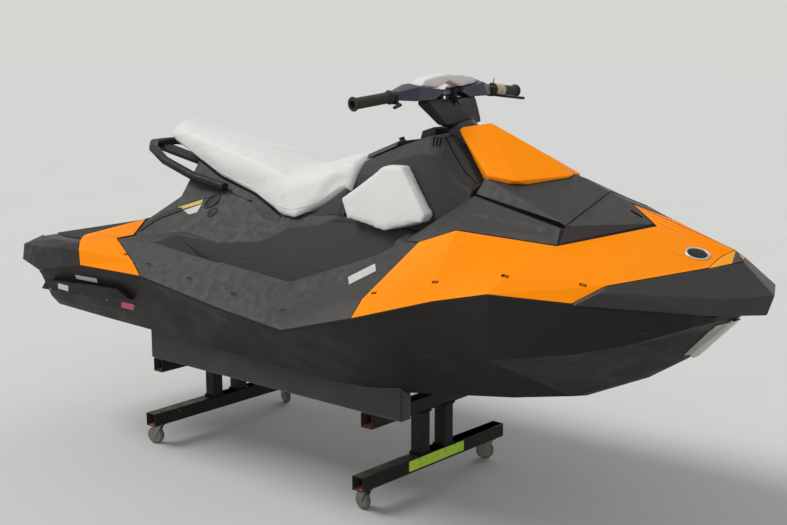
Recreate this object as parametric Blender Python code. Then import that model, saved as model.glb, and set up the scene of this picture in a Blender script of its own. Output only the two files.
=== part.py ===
"""Sit-down watercraft for three riders, resting on a stand with casters.

Frame: +X towards the bow, +Y to port, +Z up, floor at zero, and the middle of
the overall length at x = 0. Lengths are metres. Outlines are tables of shares:
the first number of a corner counts stations along the length, the second
counts buttock lines out from the middle plane, the third counts waterlines up
from the floor.
"""
import math

import bmesh
import bpy
from mathutils import Vector

for stale in list(bpy.data.objects):
    bpy.data.objects.remove(stale, do_unlink=True)

# Overall sizes. A station, a buttock line and a waterline are fixed parts of them.
LENGTH = 3.05
BEAM = 1.18
HEIGHT = 1.44
STATION = LENGTH / 30.5
BUTTOCK = BEAM / 11.8
WATERLINE = HEIGHT / 14.4
# Round pieces are drawn in the smallest of the three, so that they stay round.
ROUND = min(STATION, BUTTOCK, WATERLINE)

# Walls and clearances.
SHELL = 0.004
BED = 0.0006
GAP = 0.0003
SEAM = 0.001
RUN = 0.005
ROUND_STEPS = 24

SIDES = (("starboard", -1), ("port", 1))

LOOKS = {
    "orange": ((1.0, 0.30, 0.0), 0.42, 0.0),
    "clad": ((0.055, 0.055, 0.058), 0.6, 0.0),
    "dark": ((0.022, 0.022, 0.023), 0.5, 0.0),
    "hull": ((0.014, 0.013, 0.012), 0.35, 0.0),
    "rubber": ((0.02, 0.02, 0.02), 0.9, 0.0),
    "white": ((0.76, 0.76, 0.74), 0.6, 0.0),
    "navy": ((0.018, 0.023, 0.04), 0.45, 0.0),
    "metal": ((0.5, 0.5, 0.5), 0.35, 1.0),
    "frame": ((0.01, 0.01, 0.01), 0.45, 0.0),
    "beige": ((0.55, 0.45, 0.30), 0.8, 0.0),
    "wood": ((0.05, 0.045, 0.04), 0.9, 0.0),
}


def spot(x_share, y_share, z_share, side=1):
    """A corner given as shares of the station, the buttock line and the waterline."""
    return Vector((
        x_share * STATION - LENGTH / 2,
        side * y_share * BUTTOCK,
        z_share * WATERLINE,
    ))


def spots(corner_shares, side=1):
    return [spot(x, y, z, side) for x, y, z in corner_shares]


def both_sides(corner_shares):
    return spots(corner_shares) + spots(corner_shares, -1)


def paint(thing, look):
    colour, rough, metal = LOOKS[look]
    material = bpy.data.materials.new(thing.name)
    material.use_nodes = True
    shader = material.node_tree.nodes["Principled BSDF"]
    shader.inputs["Base Color"].default_value = (*colour, 1.0)
    shader.inputs["Roughness"].default_value = rough
    shader.inputs["Metallic"].default_value = metal
    material.diffuse_color = (*colour, 1.0)
    thing.data.materials.append(material)


def make(name, form, look=None, origin=None):
    """Turn a bmesh into an object, with its origin moved to a joint's axis."""
    bmesh.ops.recalc_face_normals(form, faces=form.faces)
    mesh = bpy.data.meshes.new(name)
    if origin is not None:
        bmesh.ops.translate(form, verts=form.verts, vec=-origin)
    form.to_mesh(mesh)
    form.free()
    thing = bpy.data.objects.new(name, mesh)
    if origin is not None:
        thing.location = origin
    bpy.context.collection.objects.link(thing)
    if look is None:
        thing.hide_render = True
        thing.display_type = "WIRE"
    else:
        paint(thing, look)
    return thing


def boolean(thing, tool, operation):
    step = thing.modifiers.new(tool.name, "BOOLEAN")
    step.operation = operation
    step.solver = "EXACT"
    step.object = tool


def cut(thing, *tools):
    for tool in tools:
        boolean(thing, tool, "DIFFERENCE")


def join(thing, *tools):
    for tool in tools:
        boolean(thing, tool, "UNION")


def convex(corners):
    """The convex solid over a set of corners."""
    form = bmesh.new()
    verts = [form.verts.new(corner) for corner in corners]
    result = bmesh.ops.convex_hull(form, input=verts)
    loose = [item for item in result["geom_interior"] if isinstance(item, bmesh.types.BMVert)]
    bmesh.ops.delete(form, geom=loose, context="VERTS")
    bmesh.ops.dissolve_limit(form, angle_limit=math.radians(0.05), verts=form.verts, edges=form.edges)
    return form


def loft(rings):
    """A solid through closed rings of equal count, capped at both ends."""
    form = bmesh.new()
    rows = [[form.verts.new(point) for point in ring] for ring in rings]
    count = len(rows[0])
    for near, far in zip(rows, rows[1:]):
        for step in range(count):
            after = (step + 1) % count
            form.faces.new((near[step], near[after], far[after]))
            form.faces.new((near[step], far[after], far[step]))
    caps = [form.faces.new(rows[0]), form.faces.new(list(reversed(rows[-1])))]
    form.normal_update()
    bmesh.ops.triangulate(form, faces=caps)
    return form


def box(low, high):
    return convex([
        Vector((x, y, z))
        for x in (low[0], high[0])
        for y in (low[1], high[1])
        for z in (low[2], high[2])
    ])


def turned(start, along, profile, steps=ROUND_STEPS):
    """Revolve a closed profile of (distance along the axis, radius) pairs."""
    along = along.normalized()
    aside = along.orthogonal().normalized()
    across = along.cross(aside)
    form = bmesh.new()
    rings = []
    for distance, radius in profile:
        centre = start + along * distance
        if radius == 0:
            rings.append([form.verts.new(centre)])
            continue
        ring = []
        for step in range(steps):
            angle = 2 * math.pi * step / steps
            ring.append(form.verts.new(
                centre + aside * (radius * math.cos(angle)) + across * (radius * math.sin(angle))
            ))
        rings.append(ring)
    for near, far in zip(rings, rings[1:] + rings[:1]):
        if len(near) == 1 and len(far) == 1:
            continue
        for step in range(steps):
            after = (step + 1) % steps
            if len(near) == 1:
                form.faces.new((near[0], far[after], far[step]))
            elif len(far) == 1:
                form.faces.new((near[step], near[after], far[0]))
            else:
                form.faces.new((near[step], near[after], far[after], far[step]))
    return form


def rod(start, end, radius, steps=12):
    run = end - start
    return turned(start, run, [(0, 0), (0, radius), (run.length, radius), (run.length, 0)], steps)


OCTAGON = ((-1, -0.5), (-0.5, -1), (0.5, -1), (1, -0.5), (1, 0.5), (0.5, 1), (-0.5, 1), (-1, 0.5))


def tube(path, wide, tall):
    """A flat-sided bar swept along a path of points."""
    rings = []
    for step, point in enumerate(path):
        before = path[max(step - 1, 0)]
        after = path[min(step + 1, len(path) - 1)]
        way = (after - before).normalized()
        aside = way.cross(Vector((0, 0, 1))).normalized()
        upward = aside.cross(way)
        rings.append([
            point + aside * (wide / 2 * across) + upward * (tall / 2 * lift)
            for across, lift in OCTAGON
        ])
    return loft(rings)


# The topsides as one net of corners. Each row runs from the rail up to the middle
# line: rail, band crease, gunwale edge, flank, ridge, middle.
NET_SHARES = (
    ((0.0, 4.30, 6.46), (0.0, 4.20, 7.09), (0.2, 3.40, 7.38), (0.2, 2.70, 7.38), (0.2, 2.00, 7.38),
     (0.2, 0, 7.38)),
    ((2.22, 5.03, 6.38), (2.2, 4.85, 7.30), (2.2, 4.35, 7.58), (2.1, 3.70, 7.60), (2.0, 3.10, 7.62),
     (2.0, 0, 7.62)),
    ((5.40, 5.40, 7.05), (5.10, 5.22, 7.60), (4.80, 4.95, 7.81), (4.3, 4.50, 7.84), (3.90, 4.05, 7.87),
     (3.90, 0, 7.87)),
    ((9.24, 5.61, 7.17), (8.41, 5.27, 7.57), (6.40, 4.40, 8.08), (6.4, 3.60, 8.10), (6.41, 2.97, 8.65),
     (6.41, 0, 8.90)),
    ((11.0, 5.70, 6.98), (10.3, 5.33, 7.42), (9.00, 4.59, 8.15), (9.0, 3.30, 8.50), (9.86, 2.00, 9.90),
     (7.40, 0, 10.40)),
    ((13.5, 5.82, 6.70), (13.0, 5.41, 7.15), (12.33, 4.77, 7.95), (12.5, 3.15, 8.10), (12.5, 1.85, 9.45),
     (12.5, 0, 9.45)),
    ((16.62, 5.90, 6.43), (16.2, 5.46, 6.90), (15.85, 4.88, 7.71), (15.8, 2.60, 9.45), (15.5, 1.90, 9.60),
     (15.5, 0, 9.60)),
    ((19.6, 5.86, 7.27), (19.65, 5.40, 7.80), (20.5, 3.70, 9.45), (19.3, 2.90, 9.25), (19.6, 2.10, 9.45),
     (19.6, 0, 9.45)),
    ((22.66, 5.69, 8.22), (22.31, 5.12, 8.68), (21.7, 3.35, 9.91), (21.5, 2.70, 10.35), (21.4, 2.05, 10.80),
     (21.4, 0, 10.80)),
    ((24.41, 5.42, 8.63), (24.56, 4.77, 9.09), (25.0, 2.80, 9.73), (24.95, 2.62, 9.95), (24.9, 2.45, 10.20),
     (24.9, 0, 10.20)),
    ((26.61, 4.41, 8.51), (27.3, 3.75, 9.00), (27.0, 0.60, 10.26), (26.6, 0.40, 10.42), (26.2, 0.20, 10.58),
     (25.8, 0, 10.74)),
    ((29.0, 2.10, 8.22), (29.0, 1.10, 9.33), (29.0, 0.55, 9.50), (29.05, 0.35, 9.58), (29.15, 0.18, 9.65),
     (29.26, 0, 9.72)),
)
RAIL, BAND, EDGE, FLANK, RIDGE, MIDDLE = range(6)
NET = [spots(row) for row in NET_SHARES]
LAST_ROW = len(NET) - 1


def cell_normal(row, column):
    a = NET[row][column]
    b = NET[row + 1][column]
    c = NET[row + 1][column + 1]
    d = NET[row][column + 1]
    normal = (c - a).cross(d - b)
    if normal.z < 0 and abs(normal.z) > abs(normal.y) or normal.y < 0 and abs(normal.y) > abs(normal.z):
        normal = -normal
    return normal.normalized()


SHARPEST = 0.45


def outward(row, column):
    """The offset at a net corner that keeps each neighbouring facet parallel."""
    normals = []
    for r in (row - 1, row):
        for c in (column - 1, column):
            if 0 <= r < LAST_ROW and 0 <= c < MIDDLE:
                normals.append(cell_normal(r, c))
    if column == MIDDLE:
        normals += [Vector((n.x, -n.y, n.z)) for n in normals]
    way = sum(normals, Vector())
    if column == RAIL:
        way.z = 0
        way.x = 0
    way.normalize()
    return way / max(min(way.dot(n) for n in normals), SHARPEST)


OUTWARD = [[outward(row, column) for column in range(MIDDLE + 1)] for row in range(len(NET))]


def flip(point, side):
    return Vector((point.x, point.y * side, point.z))


def core_form():
    """The deck under the cladding, closed below at the rail."""
    form = bmesh.new()
    depth = SHELL + BED
    rows = []
    for row in range(len(NET)):
        port = []
        for column in range(MIDDLE + 1):
            point = NET[row][column] - OUTWARD[row][column] * depth
            if column == RAIL:
                point.z = NET[row][column].z + GAP
            port.append(point)
        ring = [form.verts.new(point) for point in port]
        ring += [form.verts.new(flip(point, -1)) for point in reversed(port[:-1])]
        rows.append(ring)
    for near, far in zip(rows, rows[1:]):
        for step in range(MIDDLE):
            form.faces.new((near[step], far[step], far[step + 1]))
            form.faces.new((near[step], far[step + 1], near[step + 1]))
            left = len(near) - 1 - step
            form.faces.new((near[left], far[left - 1], far[left]))
            form.faces.new((near[left], near[left - 1], far[left - 1]))
        form.faces.new((near[0], near[-1], far[-1], far[0]))
    caps = [form.faces.new(rows[0]), form.faces.new(list(reversed(rows[-1])))]
    form.normal_update()
    bmesh.ops.triangulate(form, faces=caps)
    return form


def panel_form(cells, side, depth=SHELL):
    """A clad panel over a set of net cells, drawn in by a seam at its border."""
    cells = set(cells)

    def has(row, column):
        return (row, column) in cells

    corners = {}
    for row, column in cells:
        for r, c in ((row, column), (row + 1, column), (row + 1, column + 1), (row, column + 1)):
            corners[(r, c)] = None
    shift = {}
    for r, c in corners:
        inner = []
        border = []
        for dr, dc, first, second in (
            (1, 0, (r, c - 1), (r, c)),
            (-1, 0, (r - 1, c - 1), (r - 1, c)),
            (0, 1, (r - 1, c), (r, c)),
            (0, -1, (r - 1, c - 1), (r, c - 1)),
        ):
            pair = has(*first) + has(*second)
            if pair == 0:
                continue
            way = (NET[r + dr][c + dc] - NET[r][c]).normalized()
            (inner if pair == 2 else border).append(way)
        if len(inner) == 4:
            shift[(r, c)] = Vector()
        else:
            shift[(r, c)] = sum(inner or border, Vector()) * SEAM
        if c == RAIL:
            shift[(r, c)].z = max(shift[(r, c)].z, GAP * 2)
    form = bmesh.new()
    outer = {}
    under = {}
    for r, c in corners:
        top = NET[r][c] + shift[(r, c)]
        low = top - OUTWARD[r][c] * depth
        outer[(r, c)] = form.verts.new(flip(top, side))
        under[(r, c)] = form.verts.new(flip(low, side))
    edges = {}
    for row, column in cells:
        ids = ((row, column), (row + 1, column), (row + 1, column + 1), (row, column + 1))
        for layer in (outer, under):
            form.faces.new((layer[ids[0]], layer[ids[1]], layer[ids[2]]))
            form.faces.new((layer[ids[0]], layer[ids[2]], layer[ids[3]]))
        for start, end in zip(ids, ids[1:] + ids[:1]):
            key = tuple(sorted((start, end)))
            edges[key] = edges.get(key, 0) + 1
    for (start, end), count in edges.items():
        if count == 1:
            form.faces.new((outer[start], outer[end], under[end]))
            form.faces.new((outer[start], under[end], under[start]))
    return form

# Hull: one row for each ring from the transom to the stem, as station, keel height,
# chine place and knuckle place. Its top edge follows the rail of the net.
HULL_SHARES = (
    (2.22, 4.05, (4.20, 4.90), (4.55, 5.30)),
    (5.40, 3.95, (4.20, 4.80), (4.70, 5.45)),
    (9.24, 3.90, (4.15, 4.70), (4.85, 5.60)),
    (11.0, 3.90, (4.10, 4.62), (4.90, 5.60)),
    (13.5, 3.90, (4.00, 4.50), (4.95, 5.60)),
    (16.62, 3.90, (3.75, 4.33), (5.00, 5.60)),
    (19.6, 3.93, (3.20, 4.33), (5.05, 6.20)),
    (22.66, 4.10, (1.60, 4.40), (5.66, 7.75)),
    (24.41, 4.45, (0.90, 4.62), (5.30, 6.68)),
    (26.61, 5.45, (0.50, 5.60), (4.25, 7.03)),
    (27.9, 6.28, (0.42, 6.35), (3.20, 7.35)),
    (29.0, 7.35, (0.35, 7.42), (2.00, 7.75)),
)
STEM_END_SHARES = ((29.3, 0, 7.66), (29.3, 0.3, 7.70), (29.3, 1.0, 7.80), (29.3, 1.3, 7.95))


def rail_at(place):
    """The point of the rail at a place along the length."""
    rail = [row[RAIL] for row in NET]
    for near, far in zip(rail, rail[1:]):
        if near.x - GAP <= place <= far.x + GAP:
            return near.lerp(far, min(max((place - near.x) / (far.x - near.x), 0), 1))
    return rail[-1].copy()


def hull_form(drop=0.0):
    halves = []
    for station, keel, chine, knuckle in HULL_SHARES:
        half = spots([(station, 0, keel), (station, *chine), (station, *knuckle)])
        halves.append(half + [rail_at(half[0].x)])
    halves.append(spots(STEM_END_SHARES))
    lowered = Vector((0, 0, drop))
    rings = []
    for half in halves:
        ring = half + [flip(point, -1) for point in reversed(half[1:])]
        rings.append([point - lowered for point in ring])
    return loft(rings)


hull = make("hull", hull_form(), "hull")
deck = make("deck", core_form(), "clad")

# Footwells, cut through the deck into the hull, one on each side of the seat. The
# three outlines have the same corners, at the floor, at the foot of the rear ramp
# and far above the rim.
WELL_FLOOR_SHARES = (
    (12.2, 4.44), (14.0, 4.50), (15.8, 4.55), (18.3, 4.30), (18.3, 3.30), (13.5, 3.40), (12.2, 3.55),
)
WELL_TOP_SHARES = (
    (8.6, 4.36), (12.3, 4.66), (15.8, 4.77), (18.9, 4.05), (18.9, 2.00), (13.5, 2.20), (8.6, 3.60),
)
WELL_FLOOR_SHARE = 6.55
WELL_RIM_SHARES = (8.12, 8.0, 7.8, 8.2, 9.6, 9.2, 8.42)
WELL_TOP_SHARE = 12.0
MAT_THICK = 0.004


def well_rings(side):
    rims = zip(WELL_TOP_SHARES, WELL_RIM_SHARES)
    return (
        [spot(x, y, WELL_FLOOR_SHARE, side) for x, y in WELL_FLOOR_SHARES],
        [spot(x, y, z, side) for (x, y), z in rims],
        [spot(x, y, WELL_TOP_SHARE, side) for x, y in WELL_TOP_SHARES],
    )


def mat_ring(floor, lift):
    """The floor outline drawn in from the walls and raised."""
    middle = sum(floor, Vector()) / len(floor)
    return [
        point - (point - middle).normalized() * RUN + Vector((0, 0, lift))
        for point in floor
    ]


for side_name, side in SIDES:
    well = make("well_tool_" + side_name, loft(well_rings(side)))
    cut(deck, well)
    cut(hull, well)
    floor = well_rings(side)[0]
    mat = loft([mat_ring(floor, GAP), mat_ring(floor, GAP + MAT_THICK)])
    make("footwell_mat_" + side_name, mat, "rubber")

# Clad panels: each is a set of cells of the net, as ranges of rows and columns.
PANELS = (
    ("stern_bumper", "dark", (((0, 1), (0, 1)),)),
    ("rear_panel", "orange", (((2, 2), (0, 3)),)),
    ("gunwale", "clad", (((3, 6), (0, 1)),)),
    ("front_panel", "orange", (((7, 9), (0, 1)), ((10, 10), (1, 4)))),
    ("hood_cheek", "dark", (((7, 8), (2, 3)),)),
    ("rear_mat", "rubber", (((0, 1), (3, 4)), ((2, 2), (4, 4)))),
)


def cells_in(ranges):
    return [
        (row, column)
        for rows, columns in ranges
        for row in range(rows[0], rows[1] + 1)
        for column in range(columns[0], columns[1] + 1)
    ]


for panel_name, panel_look, panel_ranges in PANELS:
    for side_name, side in SIDES:
        make(panel_name + "_" + side_name, panel_form(cells_in(panel_ranges), side), panel_look)

# Bow bumper: wraps the nose outside the deck, from one side round to the other. It
# starts on the last two rows of the net and closes on the nose.
BUMPER_OUT_SHARES = (
    ((26.72, 4.52, 8.48), (27.3, 4.12, 8.86)),
    ((29.57, 1.90, 8.15), (29.9, 1.35, 8.58)),
)
BUMPER_NOSE_SHARES = ((29.45, 0, 8.02), (30.3, 0, 7.95), (30.5, 0, 8.55), (29.5, 0, 9.42))
bumper_rings = []
for row, (low_share, high_share) in zip((LAST_ROW - 1, LAST_ROW), BUMPER_OUT_SHARES):
    inner_low = NET[row][RAIL] + Vector((0, SEAM, GAP * 2))
    inner_high = NET[row][BAND] + OUTWARD[row][BAND] * SEAM
    bumper_rings.append([inner_low, spot(*low_share), spot(*high_share), inner_high])
mirrored_rings = [[flip(point, -1) for point in ring] for ring in reversed(bumper_rings)]
bumper = make("bow_bumper", loft(bumper_rings + [spots(BUMPER_NOSE_SHARES)] + mirrored_rings), "dark")
bumper_bed = make("bumper_bed_tool", core_form())
bumper_bed.location.x = GAP
cut(bumper, bumper_bed)

# Seat: rings across it, each as station, top, shoulder, lower edge, tuck. Under its
# rear half a base goes on from the tuck to a foot in the deck.
SEAT_SHARES = (
    (5.62, 12.30, (0.80, 12.10), (1.05, 11.70), (0.80, 11.40)),
    (6.75, 12.02, (1.20, 11.78), (1.30, 11.25), (1.10, 11.10)),
    (7.50, 11.91, (1.27, 11.64), (1.41, 10.97), (1.20, 10.80)),
    (9.00, 11.68, (1.40, 11.38), (1.62, 10.42), (1.50, 10.27)),
    (11.12, 11.33, (1.60, 10.98), (1.90, 10.00), (1.78, 9.85)),
    (12.75, 10.97, (1.70, 10.62), (2.15, 9.40), (2.05, 9.25)),
    (13.60, 11.05, (1.70, 10.70), (2.20, 9.32), (2.10, 9.17)),
    (14.61, 11.43, (1.50, 10.95), (1.90, 9.95), (1.80, 9.80)),
    (15.35, 11.62, (1.10, 11.30), (1.55, 10.60), (1.45, 10.45)),
    (15.58, 11.40, (1.05, 11.10), (1.50, 10.45), (1.40, 10.30)),
)
SEAT_CROWN_SHARES = (0.6, 0.33)
SEAT_FOOT_SHARES = {7.50: (2.84, 8.60), 9.00: (2.82, 8.80), 11.12: (2.30, 9.00), 12.75: (2.30, 8.80)}
seat_rings = []
base_rings = []
for x, top, shoulder, lower, tuck in SEAT_SHARES:
    aside, fall = SEAT_CROWN_SHARES
    crown = (shoulder[0] * aside, top + (shoulder[1] - top) * fall)
    half = [(x, 0, top), (x, *crown), (x, *shoulder), (x, *lower), (x, *tuck)]
    seat_rings.append(spots(half) + spots(list(reversed(half[1:])), -1))
    if x in SEAT_FOOT_SHARES:
        half = [(x, *tuck), (x, *SEAT_FOOT_SHARES[x])]
        base_rings.append([
            point - Vector((0, 0, GAP)) for point in spots(half) + spots(list(reversed(half)), -1)
        ])
seat = make("seat", loft(seat_rings), "white")
seat_base = make("seat_base", loft(base_rings), "clad")
seat_bed = make("seat_bed_tool", core_form())
seat_bed.location.z = GAP
cut(seat, seat_bed)
cut(seat_base, seat_bed)

# Grab handle: a loop behind the seat with an arm under it, carried by the deck.
HANDLE_SHARES = (
    (9.80, 1.98, 10.05), (8.0, 1.95, 10.30), (6.2, 1.80, 10.75), (4.9, 1.30, 11.10), (4.1, 0.60, 11.20),
    (4.0, 0.0, 11.20),
)
HANDLE_ARM_SHARES = ((4.0, 0.0, 11.0), (6.5, 0.0, 10.55), (7.0, 0.0, 9.80))
HANDLE_WIDE = 0.034
HANDLE_TALL = 0.03
handle_path = spots(HANDLE_SHARES) + spots(list(reversed(HANDLE_SHARES[:-1])), -1)
handle = make("grab_handle", tube(handle_path, HANDLE_WIDE, HANDLE_TALL), "dark")
join(handle, make("handle_arm_tool", tube(spots(HANDLE_ARM_SHARES), HANDLE_WIDE * 2, HANDLE_TALL)))
base_tool = make("base_tool", loft(base_rings))
seat_tool = make("seat_tool", loft(seat_rings))
seat_tool.location.z = -GAP
cut(handle, seat_bed, base_tool, seat_tool)

# Console: rings along the length, each as station, top, crest, side, foot. Its rear
# end runs on under the front of the seat.
CONSOLE_SHARES = (
    (13.90, 9.32, (1.20, 9.32), (1.96, 9.32), (2.10, 9.0)),
    (14.61, 9.78, (1.20, 9.78), (1.79, 9.78), (2.15, 9.0)),
    (15.35, 10.43, (0.80, 10.43), (1.44, 10.43), (2.10, 9.0)),
    (15.58, 10.28, (0.80, 10.28), (1.39, 10.28), (2.10, 9.0)),
    (15.62, 11.38, (0.70, 11.33), (1.10, 10.90), (1.60, 9.3)),
    (16.60, 11.74, (0.85, 11.69), (1.30, 11.00), (2.02, 9.3)),
    (17.30, 12.00, (0.90, 11.95), (1.25, 11.50), (2.05, 9.3)),
    (18.70, 12.45, (0.95, 12.40), (1.35, 11.90), (2.05, 9.3)),
    (19.50, 12.45, (0.80, 12.40), (1.40, 11.80), (2.05, 9.3)),
    (20.30, 11.72, (0.90, 11.67), (1.60, 11.10), (2.00, 9.3)),
    (21.00, 11.05, (1.20, 11.00), (1.70, 10.85), (2.00, 9.8)),
)


def console_form():
    rings = []
    for x, top, crest, flank, foot in CONSOLE_SHARES:
        half = [(x, 0, top), (x, *crest), (x, *flank), (x, *foot)]
        rings.append(spots(half) + spots(list(reversed(half[1:])), -1))
    return loft(rings)


console = make("console", console_form(), "clad")
cut(console, seat_bed)

# Glovebox: a tub cut into the console under a hinged lid.
GLOVEBOX_SHARES = ((15.95, -0.62, 10.3), (17.0, 0.62, 12.5))
cut(console, make("glovebox_tool", box(*spots(GLOVEBOX_SHARES))))
LID_SHARES = ((15.66, 0.70, 11.40), (17.20, 0.90, 11.97))
LID_THICK = 0.016
LID_DRAW_SHARE = 0.85
lid_lift = Vector((0, 0, LID_THICK))
lid_corners = both_sides(LID_SHARES)
lid_corners += [
    point + lid_lift for point in both_sides([(x, y * LID_DRAW_SHARE, z) for x, y, z in LID_SHARES])
]
LID_HINGE = spot(*LID_SHARES[1])
LID_HINGE.y = 0
make("glovebox_lid", convex(lid_corners), "dark", LID_HINGE)

# Knee panels: padded plates on the sides of the console, leaning in as they rise.
KNEE_SHARES = (
    (15.9, 10.24), (17.52, 11.44), (18.34, 11.50), (19.69, 10.03), (19.61, 9.78), (18.04, 9.33), (16.3, 9.60),
)
KNEE_IN_SHARE = 1.2
KNEE_OUT_SHARES = (2.45, 9.8, 0.28)
foot_out, foot_height, knee_lean = KNEE_OUT_SHARES
for side_name, side in SIDES:
    knee = make("knee_panel_" + side_name, loft([
        [spot(x, KNEE_IN_SHARE, z, side) for x, z in KNEE_SHARES],
        [spot(x, foot_out - (z - foot_height) * knee_lean, z, side) for x, z in KNEE_SHARES],
    ]), "white")
    knee_bed = make("knee_bed_tool_" + side_name, console_form())
    knee_bed.location.y = side * GAP
    cut(knee, knee_bed, seat_bed)

# Hood: a rear slab between the cheeks and a front piece that comes down to the
# panels, hinged at its front edge. The deck under it shapes its bottom.
HOOD_SHARES = (
    (21.40, 1.98, 10.4), (21.40, 1.98, 10.85), (21.40, 1.50, 11.32), (22.84, 1.60, 10.98), (23.2, 0, 11.6),
    (24.2, 0, 11.36), (25.1, 2.36, 9.8), (25.1, 2.36, 10.26), (25.1, 0, 11.0),
)
HOOD_FRONT_SHARES = (
    (25.03, 2.70, 9.6), (25.03, 2.72, 9.80), (25.03, 2.42, 10.27), (25.03, 0, 11.03),
    (26.88, 0.57, 10.0), (26.88, 0.57, 10.30), (25.78, 0, 10.78), (25.78, 0, 10.0),
)
HOOD_NOTCH_SHARES = ((25.76, 0, 9.0), (26.98, 0.61, 9.0), (25.76, 0, 12.0), (26.98, 0.61, 12.0))
HOOD_HINGE = spot(27.05, 0, 10.15)
hood = make("hood", convex(both_sides(HOOD_SHARES)), "dark", HOOD_HINGE)
hood_front = make("hood_front_tool", convex(both_sides(HOOD_FRONT_SHARES)))
hood_notch = make("hood_notch_tool", convex(both_sides(HOOD_NOTCH_SHARES)))
join(hood, hood_front)
cut(hood, seat_bed, hood_notch)

# Storage bin: a pocket in the deck under the hood with a loose-edged tub.
BIN_SHARES = ((21.9, 1.7, 8.9), (24.4, 1.7, 12.0))
BIN_WALL = 0.003
BIN_TOP_SHARE = 9.95
bin_low, bin_high = spots(BIN_SHARES)
cut(deck, make("bin_tool", box((bin_low.x, -bin_low.y, bin_low.z), bin_high)))
bin_tub = make("storage_bin", box(
    (bin_low.x + GAP, -bin_low.y + GAP, bin_low.z + GAP),
    (bin_high.x - GAP, bin_high.y - GAP, BIN_TOP_SHARE * WATERLINE),
), "dark")
cut(bin_tub, make("bin_hollow_tool", box(
    (bin_low.x + BIN_WALL, -bin_low.y + BIN_WALL, bin_low.z + BIN_WALL),
    (bin_high.x - BIN_WALL, bin_high.y - BIN_WALL, bin_high.z),
)))

# Steering axis and the collar round its column, raked back over the console.
STEER_LOW = spot(19.45, 0, 12.42)
STEER_HIGH = spot(18.45, 0, 14.12)
steer_way = (STEER_HIGH - STEER_LOW).normalized()
COLLAR_LOW = ROUND * 0.55
COLLAR_HIGH = ROUND * 0.46
COLLAR_TALL = ROUND * 0.34
COLLAR_SINK = ROUND * 0.40
console_raised = make("collar_bed_tool", console_form())
console_raised.location.z = GAP
collar = make("column_boot", turned(STEER_LOW, steer_way, [
    (-COLLAR_SINK, 0), (-COLLAR_SINK, COLLAR_LOW), (0, COLLAR_LOW),
    (COLLAR_TALL, COLLAR_HIGH), (COLLAR_TALL, 0),
]), "rubber")
cut(collar, console_raised)

# Wind deflector, standing on the hood, with its rear edge clear of the collar.
DEFLECTOR_SHARES = (
    (19.65, 0.60, 12.62), (19.72, 0.55, 12.72), (20.5, 0.0, 12.87), (23.0, 0.0, 11.88), (23.75, 0.30, 11.45),
    (22.57, 1.50, 11.30), (21.5, 1.60, 11.40), (21.45, 1.45, 11.60), (21.5, 1.40, 10.90), (23.6, 0.30, 10.80),
)
deflector = make("deflector", convex(both_sides(DEFLECTOR_SHARES)), "orange", HOOD_HINGE)
hood_raised = make("deflector_bed_tool", convex(both_sides(HOOD_SHARES)))
hood_raised.location.z = GAP
front_raised = make("deflector_front_tool", convex(both_sides(HOOD_FRONT_SHARES)))
front_raised.location.z = GAP
collar_room = make("collar_room_tool", rod(
    STEER_LOW - steer_way * COLLAR_LOW * 2, STEER_LOW + steer_way * COLLAR_LOW * 4,
    COLLAR_LOW + RUN, ROUND_STEPS,
))
cut(deflector, hood_raised, front_raised, collar_room)

# Steering frame: a riser on the column that forks into two arms under the bar, each
# with a clamp for the bar.
RISER_FOOT = ROUND * 0.12
ARM_SHARES = (
    (19.02, -0.10, 12.80), (19.38, -0.10, 12.80), (19.02, 0.95, 12.80), (19.38, 0.95, 12.80),
    (18.98, 0.30, 12.62), (19.34, 0.30, 12.74), (18.62, -0.10, 13.44), (19.05, -0.10, 13.44),
    (18.45, 1.30, 13.45), (18.88, 1.30, 13.45), (18.45, 1.25, 13.595), (18.86, 1.25, 13.595),
    (18.45, 0.30, 13.595), (18.86, 0.30, 13.595),
)
CLAMP_SHARES = ((18.34, 0.30, 13.50), (18.76, 0.44, 13.90))
foot_start = COLLAR_TALL + GAP
riser = make("steering_frame", turned(STEER_LOW, steer_way, [
    (foot_start, 0), (foot_start, COLLAR_HIGH),
    (foot_start + RISER_FOOT, COLLAR_HIGH), (foot_start + RISER_FOOT, 0),
]), "dark", STEER_LOW)
for side_name, side in SIDES:
    join(riser, make("arm_tool_" + side_name, convex(spots(ARM_SHARES, side))))
    join(riser, make("clamp_tool_" + side_name, box(*spots(CLAMP_SHARES, side))))
collar_clear = make("collar_clear_tool", turned(STEER_LOW, steer_way, [
    (-COLLAR_SINK, 0), (-COLLAR_SINK, COLLAR_LOW * 2), (foot_start, COLLAR_LOW * 2), (foot_start, 0),
]))

BAR_RADIUS = ROUND * 0.11
GRIP_RADIUS = ROUND * 0.185
GRIP_BORE = BAR_RADIUS * 1.18
GRIP_STEPS = 16
GRIP_START_SHARE = 0.12
BAR_SHARES = ((18.35, 4.2, 13.62), (18.5, 2.5, 13.768), (18.5, 1.6, 13.773), (18.5, 0, 13.773))
bar_points = spots(BAR_SHARES) + spots(list(reversed(BAR_SHARES[:-1])), -1)
make("handlebar", tube(bar_points, BAR_RADIUS * 2, BAR_RADIUS * 2), "metal", STEER_LOW)
BAR_ROOM = (BAR_RADIUS + GAP) * 2
cut(riser, collar_clear, make("bar_room_tool", tube(bar_points, BAR_ROOM, BAR_ROOM)))
for side_name, side in SIDES:
    outer_end = spot(*BAR_SHARES[0], side)
    inner_end = spot(*BAR_SHARES[1], side)
    run = (outer_end - inner_end).normalized()
    start = inner_end.lerp(outer_end, GRIP_START_SHARE)
    span = (outer_end - start).length + BAR_RADIUS
    inside = span - BAR_RADIUS + GAP
    make("grip_" + side_name, turned(start, run, [
        (0, GRIP_BORE), (0, GRIP_RADIUS), (span, GRIP_RADIUS), (span, 0), (inside, 0), (inside, GRIP_BORE),
    ], GRIP_STEPS), "rubber", STEER_LOW)

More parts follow.
